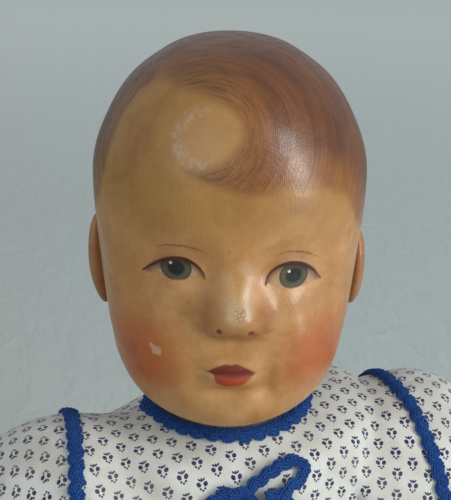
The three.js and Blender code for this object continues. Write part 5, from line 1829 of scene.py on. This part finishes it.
def buildLeg(name, side, material):
    legShape = scaled(legRows, leg["radius"], leg["radius"])
    rings, centres, _ = sweepRings(legLine(side), legShape, np.array([1.0, 0, 0]), 72, 90, domed=True)
    legPart = closedLoft("leg", rings, material)
    rows = scaled(footRows, leg["footWidth"] / 2, leg["footThickness"] / 2)
    feet, footCentres, _ = sweepRings(footLine(side), rows, np.array([1.0, 0, 0]), 72, 60)
    footPart = closedLoft("foot", feet, material)
    made = joinPieces(name + "_leg_skin", [legPart, footPart], material)
    remesh(made, 1.5, 8)
    cutPlane(made, (0, 0, leg["floorGap"]), (0, 0, -1), fill=True)
    cutPlane(made, (side * (body["hipPlane"] + body["gap"] + leg["tuck"]), 0, 0), (-side, 0, 0), fill=True)
    points = pointsOf(made)
    # toes: four sewn lines over the end of the foot
    tip, ball = footCentres[-1], footCentres[42]
    along = (tip - ball) / np.linalg.norm(tip - ball)
    lateral = np.array([1.0, 0, 0]) - along * along[0]
    lateral = unit(lateral)
    distance = np.full(len(points), 99.0)
    for f in (-0.62, -0.22, 0.18, 0.55):
        delta = points - (ball + lateral * side * f * leg["footWidth"] / 2 * 0.98)
        t = delta @ along
        off = delta @ lateral
        groove = bell(off, 0.9) * smooth(3, 8, t)
        toward = normalsOf(made)
        points -= toward * (groove * 1.5)[:, None]
        distance = np.minimum(distance, np.where(t > 4, np.abs(off), 99))
    swell = waviness(points, 30, 41 + side) * 0.6 + waviness(points, 10, 6) * 0.15
    points += normalsOf(made) * swell[:, None] * smooth(1, 4, points[:, 2])[:, None]
    movePoints(made, points)
    sole = centres[4:88:5] - sampleRows(legShape, np.arange(4, 88, 5) / 89)[:, 1:] * (0, 0, 1)
    found = addSeam(made, [sole, footCentres[::6] + np.array([0, leg["footThickness"] * 0.5, 0])])
    joined = np.minimum(found, distance)
    made.data.attributes.remove(made.data.attributes["seam"])
    setValues(made, "seam", joined)
    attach(made, name + "_leg")
    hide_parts(name + "_leg_cover")


def buildBloomersLeg(name, side, material, tree, yarn):
    share = leg["bloomersShare"]
    stations = np.linspace(0, share, 24)
    rows = np.c_[stations, sampleRows(legRows, stations) * leg["radius"]]
    grow = leg["ease"] + leg["fullness"]
    rings, _, tangents = sweepRings(legLine(side), rows, np.array([1.0, 0, 0]), 120, 40, grow=grow, domed=True)
    angle = turns(120)
    centre = rings.mean(1, keepdims=True)
    out = rings - centre
    length = np.linalg.norm(out, axis=-1, keepdims=True)
    level = np.linspace(0, 1, len(rings))[:, None]
    gathers = np.sin(16 * angle + 2 * np.sin(2 * angle)) * smooth(0.55, 0.95, level)
    folds = 0.7 * gathers + 0.5 * np.sin(5 * angle + 6 * level)
    rings = centre + out / length * (length + np.clip(folds, -0.6, 1.0)[..., None])
    # flat against the seat, so that the leg turns freely
    rings[..., 0] = side * np.maximum(side * rings[..., 0], body["hipPlane"] + body["gap"])
    v = np.r_[0, np.cumsum(np.linalg.norm(np.diff(rings.mean(1), axis=0), axis=1))]
    made = openTube(name + "_bloomers_cloth", rings, material, lambda t: t * leg["cuffGirth"], v)
    thicken(made, 0.9)
    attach(made, name + "_leg")
    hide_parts(name + "_bloomers_leg")
    ring = smoothLoop(rings[-1], 10)
    middle = ring.mean(0)
    out = ring - middle
    out = unit(out)
    radius = sampleRows(legRows, share)[0, 0] * leg["radius"] + leg["ease"] + 0.2
    trim = crochetPiece(name + "_leg_edging", middle + out * radius, out, np.tile(tangents[-1], (120, 1)), tree,
                        yarn, width=6.4)
    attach(trim, name + "_leg")
    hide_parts(name + "_leg_trim")


# body, neck and bloomers seat

torsoRows = [(0, 0.52, 0.62, 2.6), (0.05, 0.72, 0.83, 2.5), (0.16, 0.83, 0.96, 2.4), (0.36, 0.85, 1, 2.3),
             (0.6, 0.9, 0.93, 2.3), (0.8, 1, 0.83, 2.5), (0.9, 1, 0.76, 2.6), (0.95, 0.97, 0.7, 2.4),
             (0.985, 0.85, 0.65, 2.3), (1, 0.7, 0.6, 2.2)]


def torsoShape(name, grow, material):
    around = 160
    stations = np.linspace(0, 1, 90)
    half, depth, square = sampleRows(torsoRows, stations).T[:, :, None]
    low = body["clothWall"] + body["gap"] - grow
    height = low + stations[:, None] * (body["torsoHeight"] + grow - low)
    angle = turns(around)

    x = (half * body["halfWidth"] + grow) * powered(np.cos(angle), 2 / square)
    y = (depth * body["halfDepth"] + grow) * powered(np.sin(angle), 2 / square)
    hipTop = body["hipHeight"] + leg["radius"] + leg["ease"] + body["clothWall"] + 2 * body["gap"]
    limit = np.where(height < hipTop, body["hipPlane"], body["shoulderPlane"]) + grow
    if grow <= 0:
        x = np.clip(x, -limit, limit)
    rings = np.stack([x, y, np.repeat(height, around, 1)], -1)
    return closedLoft(name, rings, material), hipTop


def slopeShoulders(points):
    points[:, 2] -= 7.5 * smooth(14, 42, np.abs(points[:, 0])) * smooth(134, 157, points[:, 2])
    return points


def buildTorso(material):
    made, _ = torsoShape("body_skin", 0, material)
    points = pointsOf(made)
    points += normalsOf(made) * (waviness(points, 30, 51) * 0.35 - 0.2)[:, None]
    movePoints(made, slopeShoulders(points))
    front = [(0, y, z) for y, z in ((-26, 3), (-38, 20), (-40, 60), (-37, 95), (-33, 125), (-29, 150), (-23, 160))]
    addSeam(made, [front, [(x, -y, z) for x, y, z in front]])
    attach(made, "torso")
    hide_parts("torso_cover")
    return made


def buildSeat(material):
    made, hipTop = torsoShape("bloomers_seat_cloth", 1.6, material)
    cutPlane(made, (0, 0, 74), (0, 0, 1))
    for side in sides.values():
        cutPlane(made, (side * body["hipPlane"], 0, 0), (side, 0, 0), only=lambda p: p.z < hipTop)
    made.data.uv_layers.new(name="cloth")
    values = []
    for polygon in made.data.polygons:
        corners = [made.data.vertices[i].co for i in polygon.vertices]
        turned = [math.atan2(p.x, -p.y) for p in corners]
        if max(turned) - min(turned) > math.pi:
            turned = [t + 2 * math.pi if t < 0 else t for t in turned]
        values += [(t * 0.042, p.z - math.hypot(p.x, p.y) * 0.3) for t, p in zip(turned, corners)]
    made.data.uv_layers["cloth"].data.foreach_set("uv", np.array(values).ravel())
    thicken(made, 1.0)
    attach(made, "torso")
    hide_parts("bloomers_seat")


def buildNeck(material):
    foot, top = -12.0, 8.6
    rows = [(foot, 0.98), (foot + (top - foot) * 0.3, 1), (foot + (top - foot) * 0.7, 0.94), (top, 0.9)]
    stations = np.linspace(foot, top, 30)
    radius = sampleRows(rows, stations)[:, :1] * body["neckRadius"]
    angle = turns(80) + math.radians(head["turn"])
    ripple = 0.25 * np.sin(13 * angle) * (1 - smooth(foot, top, stations))[:, None]
    rings = np.stack([(radius + ripple) * np.cos(angle), (radius + ripple) * np.sin(angle),
                      np.repeat(stations[:, None] + body["neckHeight"], 80, 1)], -1)
    made = closedLoft("neck_skin", rings, material)
    addSeam(made, [rings[:, 20]])
    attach(made, "torso")
    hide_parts("neck")


# stuffing, buttons and hardware

stuffing = {"voxel": 3.0, "tufts": 1.1}


def buildStuffing(node, rides, material):
    # the CAD solid with its faces merged, then loosened into tufts
    source = bpy.data.objects[node]
    made = bpy.data.objects.new(node.replace("_stuffing", "_wool"), source.data.copy())
    bpy.context.scene.collection.objects.link(made)
    work = bmesh.new()
    work.from_mesh(made.data)
    bmesh.ops.remove_doubles(work, verts=work.verts, dist=1e-6)
    work.to_mesh(made.data)
    work.free()
    made.data.materials.clear()
    made.data.materials.append(material)
    remesh(made, stuffing["voxel"], 2)
    points = pointsOf(made)
    rough = waviness(points, 7, 61) + 0.6 * waviness(points, 3.5, 62)
    points += normalsOf(made) * (np.clip(rough, -1, 0.1) * stuffing["tufts"] - 0.1)[:, None]
    movePoints(made, slopeShoulders(points) if rides == "torso" else points)
    made.data.shade_smooth()
    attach(made, rides)
    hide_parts(node)


button = {"radius": 4.5, "wall": 2.0, "holes": 1.0, "holeRadius": 0.45, "count": 3}


def diskRing(centre, radius, angle, depth):
    return np.stack([centre[0] + radius * np.cos(angle), np.full(len(angle), centre[1] + depth),
                     centre[2] + radius * np.sin(angle)], -1)


def buildButtons(material, thread, dressTree):
    for n in range(button["count"]):
        node = "back_button_" + str(n + 1)
        low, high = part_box(node)
        centre = np.array([(low[0] + high[0]) / 2, high[1], (low[2] + high[2]) / 2]) / mm
        hit = dressTree.ray_cast(Vector((centre[0], 200, centre[2])) * mm, Vector((0, -1, 0)))
        centre[1] = hit[0].y / mm + button["wall"] - 0.3
        profile = [(0.0, -0.55), (0.35, -0.55), (0.55, -0.5), (0.66, -0.2), (0.78, 0.0), (0.9, -0.02),
                   (0.97, -0.18), (1.0, -0.5), (0.98, -1.2), (0.9, -1.75), (0.7, -2.0), (0.35, -2.0),
                   (0.0, -2.0)]
        profile = curveThrough(np.array(profile), 30)
        angle = turns(48)
        rings = np.array([diskRing(centre, max(r, 0.004) * button["radius"], angle, depth) for r, depth in profile])
        made = closedLoft("sewn_button_" + str(n + 1), rings, material)
        cutters = []
        for x in (-1, 1):
            for z in (-1, 1):
                spot = centre + button["holes"] * np.array([x, 0, z])
                hole = np.array([diskRing(spot, button["holeRadius"], angle[::4], depth) for depth in (1.0, -3.0)])
                cutters.append(closedLoft("hole", hole, material))
        cutter = joinPieces("holes", cutters, material)
        modifier = made.modifiers.new("holes", "BOOLEAN")
        modifier.operation = "DIFFERENCE"
        modifier.object = cutter
        modifier.solver = "EXACT"
        applyModifiers(made)
        bpy.data.objects.remove(cutter)
        stitches = []
        for x in (-1, 1):
            line = [(centre[0] + x * button["holes"], centre[1] - 1.4, centre[2] - button["holes"]),
                    (centre[0] + x * button["holes"], centre[1] - 0.1, centre[2] - button["holes"] * 0.6),
                    (centre[0] + x * button["holes"], centre[1] - 0.1, centre[2] + button["holes"] * 0.6),
                    (centre[0] + x * button["holes"], centre[1] - 1.4, centre[2] + button["holes"])]
            tube, *_ = sweepRings(line, [(0, 0.34, 0.34), (1, 0.34, 0.34)], np.array([1.0, 0, 0]), 10, 14)
            stitches.append(closedLoft("thread", tube, thread))
        sewn = joinPieces("button_thread_" + str(n + 1), stitches, thread)
        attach(made, "torso")
        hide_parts(node)
        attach(sewn, "torso")


def dressHardware(plywood, steel):
    for name, made in [(o.name, o) for o in bpy.data.objects if o.type == "MESH"]:
        if name.endswith("_disc") or name.endswith("_pin"):
            made.data.materials.clear()
            made.data.materials.append(steel if name.endswith("_pin") else plywood)


# floor


def buildRoom():
    material, wire, shader = newMaterial("paleRoom", 0.9)
    place = wire.objectPlace()
    across = wire.plus(wire.split(place)[0], wire.times(wire.noise(place, 3.0, 3), 0.3))
    # painted light: paler towards the window side, darker away from it
    colour = wire.mix(wire.step(across, -0.35, 0.4), tone(room["floorShade"]), tone(room["floorLitTone"]))
    wire.feed(shader.inputs["Base Color"], colour)
    brushed = wire.noise(wire.vector("MULTIPLY", place, (1.0, 0.35, 1.0)), 60.0, 4, 0.6, 0.6)
    wire.feed(shader.inputs["Normal"], wire.bump(brushed, 0.6, 0.004))
    away = wire.step(wire.vector("LENGTH", place), 0.3, 1.9, 0.0, room["farGlow"])
    seen = wire.node("ShaderNodeLightPath").outputs["Is Camera Ray"]
    shader.inputs["Emission Color"].default_value = tone(room["farTone"])
    wire.feed(shader.inputs["Emission Strength"], wire.times(away, seen))
    reach = room["floorReach"] / mm
    corners = [(-reach, -reach, 0), (reach, -reach, 0), (reach, reach, 0), (-reach, reach, 0)]
    newMesh("room", corners, [(0, 1, 2, 3)], material)


# build

addCamera()
addLights()
buildRoom()
weave = weaveGroup()
handling = soilingGroup()
flowers = printGroup()
buildHead(weave, handling)
earMat = earMaterial(weave)
for sideName, side in sides.items():
    buildEar(sideName + "_ear", side, earMat)
cotton = printedCotton(weave, handling, flowers)
muslin = muslinMaterial(weave, handling)
yarn = yarnMaterial()
wool = woolMaterial()
dressMade, dressSurface = buildDress(cotton, buildTorso(muslin))
sleeves = {name: buildSleeve(name, side, cotton) for name, side in sides.items()}
stitches = stitchTree()
dressTree = buildTrims(dressSurface, sleeves, stitches, yarn)
buildTie(dressTree, stitches, yarn)
print("dress and trims done")
for sideName, side in sides.items():
    buildArm(sideName, side, muslin)
    buildLeg(sideName, side, muslin)
    buildBloomersLeg(sideName, side, cotton, stitches, yarn)
buildSeat(cotton)
buildNeck(muslin)
buildStuffing("torso_stuffing", "torso", wool)
buildStuffing("head_stuffing", "head", wool)
for sideName in sides:
    buildStuffing(sideName + "_arm_stuffing", sideName + "_arm", wool)
    buildStuffing(sideName + "_leg_stuffing", sideName + "_leg", wool)
buildButtons(buttonMaterial(), muslin, dressTree)
dressHardware(plywoodMaterial(), steelMaterial())
print("limbs, body and fittings done")
